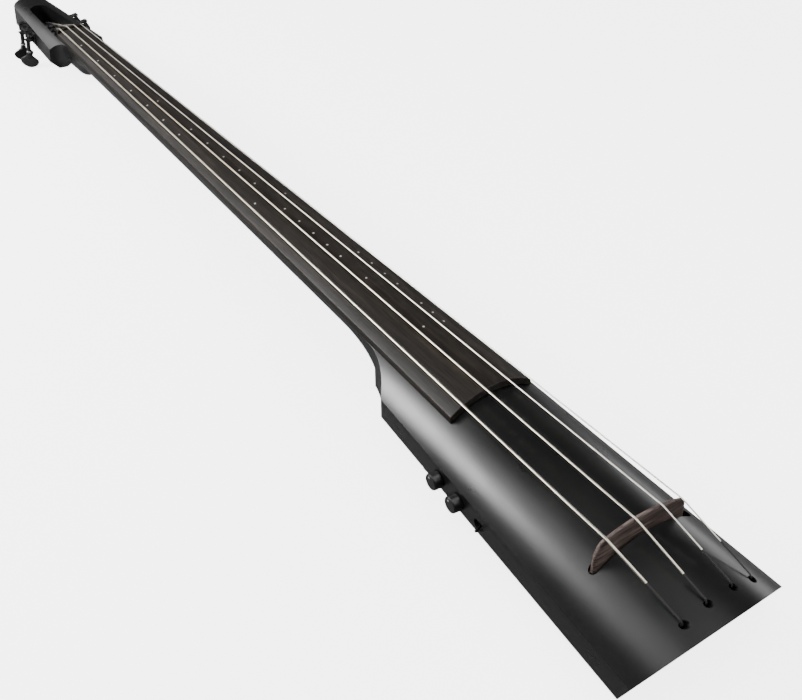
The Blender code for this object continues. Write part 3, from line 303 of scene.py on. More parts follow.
def loft(name, rings):
    """A closed skin over rings that have the same number of points, capped at both ends."""
    bm = bmesh.new()
    rows = [[bm.verts.new(point) for point in ring] for ring in rings]
    count = len(rows[0])
    for row, following in zip(rows, rows[1:]):
        for i in range(count):
            j = (i + 1) % count
            bm.faces.new((row[i], row[j], following[j], following[i]))
    bm.faces.new(rows[0])
    bm.faces.new(rows[-1])
    return to_mesh(bm, name)


def round_rings(profile, sides):
    """Circles about the Z axis, one for each (radius, height) of a profile."""
    turns = [2 * pi * i / sides for i in range(sides)]
    return [[Vector((radius * cos(turn), radius * sin(turn), height)) for turn in turns]
            for radius, height in profile]


def box(name, low, high):
    bm = bmesh.new()
    bmesh.ops.create_cube(bm, size=1.0)
    low, high = Vector(low), Vector(high)
    size = high - low
    bmesh.ops.scale(bm, vec=size, verts=bm.verts)
    bmesh.ops.translate(bm, vec=(low + high) / 2, verts=bm.verts)
    return to_mesh(bm, name)


def between(start, end, share):
    return start + (end - start) * share


def steps(start, end, count):
    return [between(start, end, i / (count - 1)) for i in range(count)]


def sagitta(x, radius):
    """How far an arc of this radius falls away from its crown at x."""
    return radius - sqrt(radius * radius - x * x)


def arc_row(half, radius, crown, y, count):
    """Points over a crowned surface, from -half to +half."""
    return [Vector((x, y, crown - sagitta(x, radius))) for x in steps(-half, half, count)]


def smooth_step(share):
    share = min(1.0, max(0.0, share))
    return share * share * (3 - 2 * share)


def board_half(y):
    share = min(1.0, max(0.0, -y / SCALE_LENGTH / BOARD_END))
    return between(BOARD_HALF_NUT, BOARD_HALF_END, share)


def board_arc(y):
    return BOARD_ARC_NUT + BOARD_ARC_SLOPE * max(0.0, -y / SCALE_LENGTH)


def board_crown(y):
    return -(BOARD_DROP_NUT + BOARD_DROP_SLOPE * max(0.0, -y / SCALE_LENGTH))


def along_body(y):
    return (y - SHOULDER_Y) / (TAIL_Y - SHOULDER_Y)


def body_half(y):
    return between(SHOULDER_HALF, TAIL_HALF, along_body(y))


def body_crease(y):
    return between(CREASE_SHOULDER, CREASE_TAIL, along_body(y))


def body_back(y):
    return BACK_SHOULDER + BACK_SLOPE * (y - SHOULDER_Y)


def body_crown(y):
    board_end = -BOARD_END * SCALE_LENGTH
    share = max(0.0, (y - board_end) / (TAIL_Y - board_end))
    return between(CROWN_BOARD, CROWN_TAIL, share)


def body_arc(y):
    half = body_half(y)
    rise = body_crown(y) - body_crease(y)
    return (half * half + rise * rise) / (2 * rise)


def body_top(x, y):
    return body_crown(y) - sagitta(x, body_arc(y))


def body_ring(y):
    half, back = body_half(y), body_back(y)
    ring = arc_row(half, body_arc(y), body_crown(y), y, BODY_POINTS)
    corner = [(half, back + BACK_ROUND), (half - BACK_ROUND * 0.3, back + BACK_ROUND * 0.3),
              (half - BACK_ROUND, back)]
    ring += [Vector((x, y, z)) for x, z in corner]
    ring += [Vector((-x, y, z)) for x, z in corner[::-1]]
    return ring


def stadium(name, half_length, half_width, low, high, centre=(0.0, 0.0), along="x"):
    """Cutter for a long pocket with half round ends, along x or y."""
    outline = []
    for side in (1, -1):
        for i in range(9):
            angle = radians(22.5 * i - 90)
            far = side * (half_length - half_width + half_width * cos(angle))
            outline.append((far, side * half_width * sin(angle)))
    if along == "y":
        outline = [(-v, u) for u, v in outline]
    x, y = centre
    rings = [[Vector((x + u, y + v, z)) for u, v in outline] for z in (low, high)]
    return loft(name, rings)


def tail_plane():
    """A point on the sloping tail cut, and its normal, out of the body."""
    normal = Vector((0.0, -cos(TAIL_RAKE), -sin(TAIL_RAKE)))
    return Vector((0.0, TAIL_Y, CREASE_TAIL)), normal


def hole_frame(index):
    """Frame of a string hole: origin in the top, +Z up and parallel to the raked tail."""
    x = HOLE_X[index]
    mouth = Matrix.Translation((x, HOLE_Y, body_top(x, HOLE_Y)))
    return mouth @ Matrix.Rotation(TAIL_RAKE, 4, "X")


def hole_length(index):
    """From the top to the back, along a string hole."""
    level = body_top(HOLE_X[index], HOLE_Y) - body_back(HOLE_Y)
    return level / (cos(TAIL_RAKE) + BACK_SLOPE * sin(TAIL_RAKE))


def heel_share(y):
    """0 where the heel begins to grow out of the neck, 1 at the joint."""
    return min(1.0, max(0.0, (JOINT_Y + HEEL_LENGTH - y) / HEEL_LENGTH))


def neck_depth(y):
    depth = between(NECK_DEPTH_NUT, NECK_DEPTH_HEEL, min(1.0, max(0.0, y / JOINT_Y)))
    volute = exp(-((y - VOLUTE_Y) / VOLUTE_LENGTH) ** 2)
    return depth + HEEL_DEPTH * heel_share(y) ** 2.6 + VOLUTE_DEPTH * volute


def neck_half(y):
    """Half the width: the board's, then the cove that runs on into the shoulder."""
    if y > COVE_Y:
        return board_half(y) - GAP
    return HEEL_HALF - GAP + sagitta(COVE_Y - y, COVE_RADIUS)


def neck_ring(y):
    """Crowned top under the board, straight side, rounded back that grows square at the heel."""
    half = neck_half(y)
    crown = board_crown(y) - BOARD_THICK - GAP
    top = arc_row(half, board_arc(y), crown, y, BOARD_POINTS)
    edge = top[-1].z - NECK_EDGE
    square = 2 / (2.0 + 2.2 * heel_share(y) ** 3)
    depth = neck_depth(y)
    under = []
    for i in range(1, BACK_POINTS + 1):
        angle = pi * i / (BACK_POINTS + 1)
        across, down = cos(angle), sin(angle)
        across = copysign(abs(across) ** square, across)
        under.append(Vector((half * across, y, edge - depth * down ** square)))
    return top + under


def head_half(y):
    return between(HEAD_HALF_NEAR, HEAD_HALF_FAR, (y - 0.015) / (HEAD_FAR_Y - 0.015))


def head_edge(y):
    return HEAD_EDGE_NEAR + HEAD_EDGE_SLOPE * y


def head_ring(outline, drop, inset):
    """The outline at a depth under the top edge: splayed walls, then drawn in under the belly."""
    ring = []
    for x, y in outline:
        shallow = smooth_step((y - HEAD_SHOULDER_Y + HEAD_FILLET) / HEAD_FILLET)
        depth = drop if drop < 0 else drop * (0.45 + 0.55 * shallow)
        spread = 1.0 + min(drop, HEAD_SIDE) * tan(WALL_LEAN) / HEAD_HALF_NEAR - inset
        along = y - 0.08 * inset * smooth_step(y / HEAD_FAR_Y)
        ring.append(Vector((x * spread, along, head_edge(y) - depth)))
    return ring


def board_room():
    """Clears the head's shoulders away from the fingerboard."""
    rings = []
    for y in (-0.0001, -0.060):
        half, crown = board_half(y) + GAP, board_crown(y) - BOARD_THICK - GAP
        floor = arc_row(half, board_arc(y), crown, y, BOARD_POINTS)
        rings.append(floor + [Vector((half, y, 0.03)), Vector((-half, y, 0.03))])
    return loft("board_room", rings)


def nut_point(index):
    x = between(-NUT_SPREAD, NUT_SPREAD, index / 3)
    return Vector((x, 0.0022, -sagitta(x, NUT_STRING_ARC)))


def bridge_point(index):
    return Vector((BRIDGE_STRING_X[index], -SCALE_LENGTH, BRIDGE_STRING_Z[index]))


def bridge_top(x):
    """Height of the bridge's arch, rounded off at both ends."""
    middle, crest = BRIDGE_CREST
    left = max(0.0, (BRIDGE_LEFT + 0.0080 - x) / 0.0080)
    right = max(0.0, (x - BRIDGE_RIGHT + 0.0050) / 0.0050)
    fall = 0.0150 * (1 - sqrt(1 - left * left)) + 0.0080 * (1 - sqrt(1 - right * right))
    return crest - sagitta(x - middle, BRIDGE_ARC) - fall


def bridge_ring(x):
    """Section of the bridge: a bar that thins towards its rounded top, and at its ends."""
    near_end = min(x - BRIDGE_LEFT, BRIDGE_RIGHT - x)
    end = max(0.0, 1 - near_end / 0.0040)
    narrow = sqrt(1 - 0.72 * end * end)
    foot, head = BRIDGE_FOOT_HALF * narrow, BRIDGE_TOP_HALF * narrow
    top = bridge_top(x)
    section = ((-foot, BRIDGE_FOOT), (foot, BRIDGE_FOOT), (head, top - 0.0008), (head * 0.5, top),
               (-head * 0.5, top), (-head, top - 0.0008))
    return [Vector((x, y - SCALE_LENGTH, z)) for y, z in section]


def tuner_frame(name):
    """Frame of one machine: +X out of its cheek along the post, +Y to its worm, +Z up the worm."""
    side = TUNER_SIDE[name]
    y = POST_Y[name]
    lean = Matrix.Rotation(-side * WALL_LEAN, 4, "Y")
    face = Matrix.Translation((side * post_seat(y), 0.0, 0.0))
    flip = Matrix.Scale(side, 4, (1, 0, 0))
    return Matrix.Translation((0.0, y, POST_Z)) @ lean @ face, flip


def post_seat(y):
    """Distance along the post from the middle of the pegbox to the plate on the cheek."""
    return head_half(y) + (head_edge(y) - POST_Z) * tan(WALL_LEAN) + GAP


def to_machine(mesh, flip):
    """Mirror a mesh made for the +X cheek when it goes on the -X cheek."""
    if flip[0][0] < 0:
        mesh.transform(flip)
        mesh.flip_normals()
    return mesh


def post_inner_end(name):
    """The far end of the post, seated 4 mm deep in the cheek opposite its machine."""
    return -(post_seat(POST_Y[name]) + pegbox_half(POST_Y[name]) + 0.004)


def pegbox_half(y):
    share = (y - PEGBOX_NEAR_Y) / (PEGBOX_FAR_Y - PEGBOX_HALF_FAR - PEGBOX_NEAR_Y)
    return between(PEGBOX_HALF_NEAR, PEGBOX_HALF_FAR, share)


def button_ring(z):
    """Section of a tuner button: a round stem that spreads into a flat, rounded paddle."""
    share = (BUTTON_TOP - GAP - z) / (BUTTON_TOP - GAP - BUTTON_END)
    spread = smooth_step((share - 0.10) / 0.42)
    half = between(BUTTON_STEM, BUTTON_HALF, spread)
    thick = between(BUTTON_STEM, 0.0024, smooth_step(share / 0.5))
    if share > 0.52:
        end = (share - 0.52) / 0.49
        half *= sqrt(1 - end * end)
        thick *= 1 - 0.45 * end ** 3
    turns = [radians(30 * i) for i in range(12)]
    return [Vector((thick * sin(turn), half * cos(turn), z)) for turn in turns]


def knob_profile(shaft):
    """A knob with a bevelled rim, hollow for the end of its shaft."""
    rim, top, low = KNOB_RADIUS, KNOB_TOP, 0.0006
    hollow = shaft + 0.0004
    return [(0.0, top - 0.0004), (rim - 0.0016, top - 0.0004), (rim - 0.0010, top),
            (rim - 0.0004, top - 0.0003), (rim, top - 0.0012), (rim + 0.0003, 2 * low),
            (rim - 0.0004, low), (hollow, low), (hollow, 0.0064), (0.0, 0.0064)]


def worm_profile():
    """The worm's shaft, from the top: journals in the two lugs, collar, and a stem for the button."""
    journal, worm, stem = JOURNAL_RADIUS, WORM_SHAFT_RADIUS, BUTTON_STEM / 2
    under = -WORM_HALF - LUG_THICK - 0.0008
    return [(0.0, WORM_HALF + 0.0040), (journal - 0.0003, WORM_HALF + 0.0040),
            (journal, WORM_HALF + 0.0036), (journal, WORM_HALF), (worm, WORM_HALF),
            (worm, -WORM_HALF), (journal, -WORM_HALF), (journal, under),
            (journal + 0.0012, under), (journal + 0.0012, COLLAR_TOP), (BUTTON_STEM, COLLAR_TOP),
            (BUTTON_STEM, BUTTON_TOP), (stem, BUTTON_TOP), (stem, WORM_END), (0.0, WORM_END)]


DESIGN = Matrix.Translation(FRAME_SHIFT) @ Matrix.Rotation(LYING_TILT, 4, "X")


# ---- finishes ----
def new_material(name, colour, roughness, metallic=0.0, **more):
    """A Principled material; more holds other sockets by name, with _ for a space."""
    made = bpy.data.materials.new(name)
    made.use_nodes = True
    shader = made.node_tree.nodes["Principled BSDF"]
    shader.inputs["Base Color"].default_value = (*colour, 1.0)
    shader.inputs["Roughness"].default_value = roughness
    shader.inputs["Metallic"].default_value = metallic
    for word, value in more.items():
        shader.inputs[word.replace("_", " ")].default_value = value
    return made


class Graph:
    """Short hand for adding nodes to a material."""

    def __init__(self, made):
        self.tree = made.node_tree
        self.shader = self.tree.nodes["Principled BSDF"]
        coordinates = self.tree.nodes.new("ShaderNodeTexCoord")
        self.place = coordinates.outputs["Object"]

    def link(self, source, target):
        self.tree.links.new(source, target)

    def add(self, kind, source, entry, **values):
        """A node with some input values set (_ for a space in a name), fed by source."""
        node = self.tree.nodes.new("ShaderNode" + kind)
        for word, value in values.items():
            node.inputs[word.replace("_", " ")].default_value = value
        self.link(source, node.inputs[entry])
        return node

    def paint(self, source, entry="Base Color"):
        self.link(source, self.shader.inputs[entry])

    def scaled(self, scale):
        return self.add("Mapping", self.place, "Vector", Scale=scale).outputs["Vector"]

    def noise(self, scale, detail=3.0, rough=0.55, distortion=0.0):
        node = self.add("TexNoise", self.scaled(scale), "Vector", Scale=1.0, Detail=detail,
                        Roughness=rough, Distortion=distortion)
        return node.outputs["Fac"]

    def cells(self, scale):
        return self.add("TexVoronoi", self.scaled(scale), "Vector", Scale=1.0).outputs["Distance"]

    def bands(self, scale, axis):
        node = self.add("TexWave", self.place, "Vector", Scale=scale)
        node.wave_type = "BANDS"
        node.bands_direction = axis
        return node.outputs["Fac"]

    def spread(self, source, low, high, start=0.3, end=0.7):
        """Carries a factor to the range low..high."""
        node = self.add("MapRange", source, "Value", From_Min=start, From_Max=end, To_Min=low,
                        To_Max=high)
        return node.outputs["Result"]

    def colours(self, source, *stops):
        node = self.tree.nodes.new("ShaderNodeValToRGB")
        ramp = node.color_ramp
        while len(ramp.elements) < len(stops):
            ramp.elements.new(0.5)
        for element, (position, colour) in zip(ramp.elements, stops):
            element.position = position
            element.color = (*colour, 1.0)
        self.link(source, node.inputs["Fac"])
        return node.outputs["Color"]

    def mix(self, kind, amount, first, second):
        node = self.tree.nodes.new("ShaderNodeMix")
        node.data_type = "RGBA"
        node.blend_type = kind
        node.inputs["Factor"].default_value = amount
        self.link(first, node.inputs["A"])
        self.link(second, node.inputs["B"])
        return node.outputs["Result"]

    def bump(self, source, height, strength=1.0):
        node = self.add("Bump", source, "Height", Distance=height, Strength=strength)
        self.link(node.outputs["Normal"], self.shader.inputs["Normal"])


def satin_black(name, dark, light, roughness, grain, ripple):
    """Sprayed or moulded black: a fine orange peel, and rubbed places that shine a little more."""
    made = new_material(name, dark, roughness)
    graph = Graph(made)
    wear = graph.noise((14.0, 9.0, 14.0), 4.0)
    graph.paint(graph.colours(wear, (0.35, dark), (0.70, light)))
    rub = graph.spread(graph.noise((38.0, 21.0, 38.0), 5.0), roughness - 0.03, roughness + 0.03)
    graph.paint(rub, "Roughness")
    graph.bump(graph.noise((grain, grain, grain), 2.0), ripple)
    return made


def dark_wood(name, deep, middle, pale, roughness, across=(1.0, 1.0)):
    """Oiled rosewood: long streaks and open pores that run along Y, or along X for a bridge."""
    made = new_material(name, middle, roughness, Specular_IOR_Level=0.30)
    graph = Graph(made)
    u, v = across
    figure = graph.noise((130.0 * u, 5.0 * v, 130.0), 4.0, 0.6, 0.6)
    base = graph.colours(figure, (0.30, deep), (0.52, middle), (0.74, pale))
    pores = graph.noise((900.0 * u, 34.0 * v, 900.0), 2.0, 0.5)
    dark = graph.colours(pores, (0.38, (0.30, 0.28, 0.27)), (0.52, (1.0, 1.0, 1.0)))
    graph.paint(graph.mix("MULTIPLY", 0.75, base, dark))
    graph.paint(graph.spread(figure, roughness + 0.06, roughness - 0.05), "Roughness")
    graph.bump(pores, 0.00005, 0.8)
    return made


def bare_metal(name, colour, dull, roughness, grain=(300.0, 300.0, 300.0), depth=0.000008):
    """Plated or plain metal with a fine grain and slightly dull patches."""
    made = new_material(name, colour, roughness, 1.0)
    graph = Graph(made)
    cloud = graph.noise((60.0, 60.0, 60.0), 4.0)
    graph.paint(graph.colours(cloud, (0.35, dull), (0.68, colour)))
    lines = graph.noise(grain, 3.0)
    graph.paint(graph.spread(lines, roughness - 0.06, roughness + 0.08), "Roughness")
    graph.bump(lines, depth)
    return made


def wound_metal(name, colour, dull, roughness, pitch):
    """Wrap wire: low ridges square to the string, which runs along Y, in place of the grain."""
    made = bare_metal(name, colour, dull, roughness)
    graph = Graph(made)
    graph.bump(graph.bands(pi / (WAVE_BANDS * pitch), "Y"), WRAP_RIDGE, 0.3)
    return made


def silk_thread(name, colour, light):
    """Lapped silk: fine dark turns with a few paler strands."""
    made = new_material(name, colour, 0.70)
    graph = Graph(made)
    strands = graph.noise((1500.0, 4200.0, 1500.0), 2.0)
    graph.paint(graph.colours(strands, (0.4, colour), (0.7, light)))
    graph.bump(strands, 0.00008)
    return made


def printed_board(name):
    """Green laminate with paler tracks."""
    made = new_material(name, (0.03, 0.16, 0.07), 0.5)
    graph = Graph(made)
    tracks = graph.cells((420.0, 260.0, 1.0))
    ramp = graph.colours(tracks, (0.18, (0.02, 0.10, 0.05)), (0.30, (0.05, 0.24, 0.11)))
    graph.paint(ramp)
    graph.bump(tracks, 0.00004)
    return made


LACQUER = satin_black("lacquer", (0.0045, 0.0045, 0.0048), (0.0070, 0.0070, 0.0072), 0.30, 700.0,
                      0.000008)
BOARD_WOOD = dark_wood("board_wood", (0.0095, 0.0076, 0.0062), (0.0190, 0.0150, 0.0122),
                       (0.0380, 0.0300, 0.0245), 0.46)
BRIDGE_WOOD = dark_wood("bridge_wood", (0.045, 0.032, 0.027), (0.115, 0.085, 0.075),
                        (0.220, 0.170, 0.150), 0.55, (0.06, 20.0))
PLASTIC = satin_black("plastic", (0.010, 0.010, 0.010), (0.016, 0.016, 0.016), 0.34, 1500.0, 0.000012)
BLACK_METAL = satin_black("black_metal", (0.012, 0.012, 0.013), (0.022, 0.022, 0.023), 0.30, 900.0,
                          0.000010)
STEEL = bare_metal("steel", (0.62, 0.61, 0.59), (0.50, 0.49, 0.47), 0.26)
DARK_STEEL = bare_metal("dark_steel", (0.055, 0.055, 0.055), (0.035, 0.035, 0.035), 0.40)
BRASS = bare_metal("brass", (0.66, 0.50, 0.26), (0.46, 0.33, 0.17), 0.32)
WARM_WIRE = wound_metal("warm_wire", (0.90, 0.85, 0.73), (0.82, 0.76, 0.63), 0.34, 0.0006)
PALE_WIRE = wound_metal("pale_wire", (0.92, 0.89, 0.82), (0.84, 0.80, 0.73), 0.34, 0.0005)
SILK = silk_thread("silk", (0.009, 0.008, 0.008), (0.030, 0.027, 0.025))
DOT = satin_black("dot", (0.50, 0.49, 0.46), (0.62, 0.61, 0.58), 0.38, 800.0, 0.000005)
LAMINATE = printed_board("laminate")


# ---- mesh tools ----
def linked(name, data):
    made = bpy.data.objects.new(name, data)
    bpy.context.scene.collection.objects.link(made)
    return made


def baked(helper):
    """The mesh that an object's modifiers or curve settings make; the object goes."""
    bpy.context.view_layer.update()
    shown = helper.evaluated_get(bpy.context.evaluated_depsgraph_get())
    mesh = bpy.data.meshes.new_from_object(shown)
    bpy.data.objects.remove(helper, do_unlink=True)
    return mesh


def solid(mesh, tools, operation="DIFFERENCE"):
    """Cuts tools out of a mesh, or joins them to it, one after another."""
    base = linked("base", mesh)
    others = [linked("tool", tool) for tool in tools]
    for other in others:
        boolean = base.modifiers.new("tool", "BOOLEAN")
        boolean.operation = operation
        boolean.object = other
        boolean.solver = "EXACT"
    result = baked(base)
    for other in others:
        bpy.data.objects.remove(other, do_unlink=True)
    return result


def moved(mesh, matrix):
    mesh.transform(matrix)
    if matrix.to_3x3().determinant() < 0:
        mesh.flip_normals()
    return mesh


def lathe(profile, sides=64):
    """A piece turned about Z: (radius, height) pairs from the top down."""
    bm = bmesh.new()
    rows = []
    for radius, height in profile:
        if radius < 1e-7:
            rows.append([bm.verts.new((0.0, 0.0, height))])
        else:
            turns = [2 * pi * i / sides for i in range(sides)]
            rows.append([bm.verts.new((radius * cos(t), radius * sin(t), height)) for t in turns])
    for first, second in zip(rows, rows[1:]):
        for i in range(sides):
            j = (i + 1) % sides
            ring = [first[i % len(first)], first[j % len(first)],
                    second[j % len(second)], second[i % len(second)]]
            corners = list(dict.fromkeys(ring))
            if len(corners) > 2:
                bm.faces.new(corners)
    return to_mesh(bm, "lathe")


def bar(radius, start, end, sides=48, radius_end=None):
    """A round bar or cone along Z."""
    top = radius if radius_end is None else radius_end
    return loft("bar", round_rings([(radius, start), (top, end)], sides))


def wire(points, radius):
    """A round wire through points, capped at both ends."""
    curve = bpy.data.curves.new("wire", "CURVE")
    curve.dimensions = "3D"
    curve.bevel_depth = radius
    curve.bevel_resolution = WIRE_RESOLUTION
    curve.use_fill_caps = True
    spline = curve.splines.new("POLY")
    spline.points.add(len(points) - 1)
    for point, place in zip(spline.points, points):
        point.co = (*place, 1.0)
    mesh = baked(linked("wire", curve))
    bm = bmesh.new()
    bm.from_mesh(mesh)
    bmesh.ops.remove_doubles(bm, verts=bm.verts, dist=WELD)
    return to_mesh(bm, "wire")


def joined(meshes):
    """Several meshes as one, without merging them."""
    bm = bmesh.new()
    for mesh in meshes:
        bm.from_mesh(mesh)
    mesh = bpy.data.meshes.new("joined")
    bm.to_mesh(mesh)
    bm.free()
    return mesh


def piece(name, mesh, look, body="instrument", nodes=(), place=None, bevel=0.0, angle=32.0):
    """Finishes a mesh as a named piece: into place, material, bevelled edges and body; the CAD nodes
    it stands for are hidden.
    """
    moved(mesh, DESIGN if place is None else DESIGN @ place)
    made = linked(name, mesh)
    mesh.materials.clear()
    mesh.materials.append(look)
    mesh.shade_smooth()
    mesh.set_sharp_from_angle(angle=radians(angle))
    if bevel:
        rounding = made.modifiers.new("Rounding", "BEVEL")
        rounding.width = bevel
        rounding.segments = 3
        rounding.limit_method = "ANGLE"
        rounding.angle_limit = radians(angle)
        rounding.harden_normals = True
        rounding.use_clamp_overlap = True
    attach(made, body)
    if nodes:
        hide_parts(*nodes)
    return made


def repaint(node, look):
    """A CAD node that stays gets its finish."""
    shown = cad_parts[node]
    shown.data.materials.clear()
    shown.data.materials.append(look)
    return shown


# ---- fingerboard, nut and position dots ----
def make_fingerboard():
    rings = []
    for y in steps(-GAP, -BOARD_END * SCALE_LENGTH, 25):
        half, radius, crown = board_half(y), board_arc(y), board_crown(y)
        top = arc_row(half, radius, crown, y, BOARD_POINTS)
        under = arc_row(half, radius, crown - BOARD_THICK, y, BOARD_POINTS)
        rings.append(top + under[::-1])
    piece("fine_fingerboard", loft("fingerboard", rings), BOARD_WOOD, nodes=("fingerboard",),
          bevel=0.0007)


def make_dots():
    """Inlaid dots at the semitones, flush with the playing surface but for a hair."""
    dots = []
    for (offset, spread), semitones in DOT_ROWS:
        for semitone in semitones:
            share = 1 - 2 ** (-semitone / 12)
            x, y = offset + spread * share, -SCALE_LENGTH * share
            lean = asin(x / board_arc(y))
            top = board_crown(y) - sagitta(x, board_arc(y))
            disc = bar(DOT_RADIUS, -0.0006, 0.00008, 24, DOT_RADIUS - 0.00008)
            dots.append(moved(disc, Matrix.Translation((x, y, top)) @ Matrix.Rotation(lean, 4, "Y")))
    piece("position_dots", joined(dots), DOT)


def make_nut():
    rings = []
    half, floor = BOARD_HALF_NUT - 0.0004, NUT_SEAT + GAP
    for y in steps(GAP, NUT_LENGTH, 5):
        top = arc_row(half, NUT_STRING_ARC, 0.0002, y, BOARD_POINTS)
        rings.append(top + [Vector((half, y, floor)), Vector((-half, y, floor))])
    grooves = []
    for index in range(4):
        point = nut_point(index)
        groove = bar(STRING_RADIUS[index] + 0.0001, -0.012, 0.012, 20)
        groove.transform(Matrix.Translation(point) @ AXIS_Y)
        slot_above = box("slot", (point.x - STRING_RADIUS[index] - 0.0001, -0.01, point.z),
                         (point.x + STRING_RADIUS[index] + 0.0001, 0.014, 0.01))
        grooves += [groove, slot_above]
    piece("fine_nut", solid(loft("nut", rings), grooves), BOARD_WOOD, nodes=("nut",),
          bevel=0.0004)


# ---- body ----
def hole_cutter(index):
    rise = 0.006
    flare = (HOLE_MOUTH_RADIUS - HOLE_RADIUS) / HOLE_MOUTH_DEPTH
    length = hole_length(index)
    step = BALL_HOLE_DEPTH - length
    profile = [(HOLE_MOUTH_RADIUS + flare * rise, rise), (HOLE_MOUTH_RADIUS, 0.0),
               (HOLE_RADIUS, -HOLE_MOUTH_DEPTH), (HOLE_RADIUS, step), (BALL_HOLE_RADIUS, step),
               (BALL_HOLE_RADIUS, -length - 0.02)]
    return moved(loft("hole", round_rings(profile, 40)), hole_frame(index))


def on_back(mesh):
    """Tilts a mesh that was modelled on a level back so that it follows the sloping back."""
    slope = Matrix(((1.0, 0.0, 0.0, 0.0), (0.0, 1.0, 0.0, 0.0),
                    (0.0, BACK_SLOPE, 1.0, BACK_SHOULDER - BACK_SLOPE * SHOULDER_Y),
                    (0.0, 0.0, 0.0, 1.0)))
    return moved(mesh, slope)


def side_place(y, side):
    """Frame on a side wall: +Z out of the wall, at the middle of its height."""
    splay = atan2(TAIL_HALF - SHOULDER_HALF, SHOULDER_Y - TAIL_Y)
    middle = (body_crease(y) + body_back(y)) / 2
    turn = Matrix.Rotation(side * splay, 4, "Z") @ Matrix.Rotation(side * radians(90), 4, "Y")
    return Matrix.Translation((side * body_half(y), y, middle)) @ turn


def make_body():
    """The solid body with every recess: pocket, string holes, cavity, controls, stand plate."""
    places = [JOINT_Y - GAP] + steps(COVE_SECTION_Y, SHOULDER_Y, 8)
    places += steps(STRAIGHT_SECTION_Y, TAIL_Y, 20) + [PAST_TAIL_Y]
    bm = bmesh.new()
    bm.from_mesh(loft("body", [body_ring(y) for y in places]))
    point, normal = tail_plane()
    trimmed = bmesh.ops.bisect_plane(bm, geom=bm.verts[:] + bm.edges[:] + bm.faces[:],
                                     plane_co=point, plane_no=normal, clear_outer=True)
    rim = [item for item in trimmed["geom_cut"] if isinstance(item, bmesh.types.BMEdge)]
    bmesh.ops.edgeloop_fill(bm, edges=rim)
    tools = []
    for side in (-1, 1):
        cove = bar(COVE_RADIUS, CUT_BELOW, CUT_ABOVE, COVE_SIDES)
        cove.transform(Matrix.Translation((side * (HEEL_HALF + COVE_RADIUS), COVE_Y, 0.0)))
        tools.append(cove)
    tools.append(stadium("pocket", *POCKET_HALF, POCKET_FLOOR, 0.01, (0.0, -SCALE_LENGTH)))
    tools += [hole_cutter(index) for index in range(4)]
    (x0, y0), (x1, y1) = CAVITY
    tools.append(box("cavity", (x0, y0, CUT_BELOW), (x1, y1, CAVITY_ROOF)))
    tools.append(on_back(box("ledge", (x0 - COVER_LEDGE, y0 - COVER_LEDGE, -0.03),
                             (x1 + COVER_LEDGE, y1 + COVER_LEDGE, COVER_THICK + GAP))))
    for side in (-1, 1):
        bore = bar(HEIGHT_SCREW_HOLE, *HEIGHT_SCREW_SPAN, 24)
        tools.append(moved(bore, Matrix.Translation((side * HEIGHT_SCREW_X, -SCALE_LENGTH, 0.0))))
    for y in KNOB_Y.values():
        tools.append(moved(bar(KNOB_HOLE, SIDE_CUT, CUT_ABOVE), side_place(y, -1)))
    switch = side_place(SWITCH_Y, -1)
    tools.append(moved(bar(SWITCH_HOLE, SIDE_CUT, CUT_ABOVE), switch))
    tools.append(moved(stadium("slot", *SWITCH_MOUTH, CUT_ABOVE, along="y"), switch))
    jack = side_place(JACK_Y, 1)
    tools.append(moved(bar(JACK_HOLE, JACK_CUT, CUT_ABOVE), jack))
    tools.append(moved(stadium("mouth", *JACK_MOUTH, CUT_ABOVE, along="y"), jack))
    low, high = STAND_Y
    tools.append(on_back(box("stand", (-STAND_HALF - GAP, low - GAP, -0.02),
                             (STAND_HALF + GAP, high + GAP, STAND_THICK + GAP))))
    piece("fine_body", solid(to_mesh(bm, "body"), tools), LACQUER, nodes=("body",),
          bevel=0.00045, angle=24.0)


# ---- neck and head ----
def fine_outline():
    """Plan of the head: hollow fillets out of the neck, then a round end."""
    neck_side = board_half(0.0) - GAP
    start = HEAD_SHOULDER_Y - HEAD_FILLET
    right = []
    for turn in steps(0.0, radians(90), FILLET_STEPS + 1):
        right.append((neck_side + FILLET_REACH * (1 - cos(turn)),
                      start + (HEAD_FILLET - 0.001) * sin(turn)))
    right.append((head_half(HEAD_SHOULDER_Y), HEAD_SHOULDER_Y))
    for y in steps(HEAD_SHOULDER_Y + 0.008, HEAD_FAR_Y, 20):
        right.append((head_half(y), y))
    for turn in steps(0.0, radians(90), END_STEPS + 1)[1:]:
        right.append((HEAD_HALF_FAR * cos(turn), HEAD_FAR_Y + HEAD_END * sin(turn)))
    return right + [(-x, y) for x, y in right[-2::-1]]


def head_levels():
    """Depths and insets down the side of the head: straight wall, then a rounded belly."""
    levels = [(-0.012, 0.0), (0.0, 0.0), (HEAD_SIDE, 0.0), (HEAD_SIDE + 0.0035, 0.10)]
    return levels + [(HEAD_SIDE + 0.0035 + 0.0035 * s, 0.10 + 0.09 * s) for s in (0.5, 1.0)] + [
        (HEAD_BELLY, 0.28)]


def fine_neck_ring(y):
    """The CAD section; between the volute and the head it stays deep, so one wave joins them."""
    ring = neck_ring(y)
    if y <= VOLUTE_Y:
        return ring
    near = smooth_step((y - VOLUTE_Y) / -VOLUTE_Y)
    wanted = neck_depth(VOLUTE_Y) * (1.0 - VOLUTE_FALL * near)
    top, under = ring[:BOARD_POINTS], ring[BOARD_POINTS:]
    edge = top[-1].z - NECK_EDGE
    stretch = wanted / neck_depth(y)
    widen = 1.0 + VOLUTE_WIDEN * near
    return top + [Vector((p.x * widen, y, edge - (edge - p.z) * stretch)) for p in under]


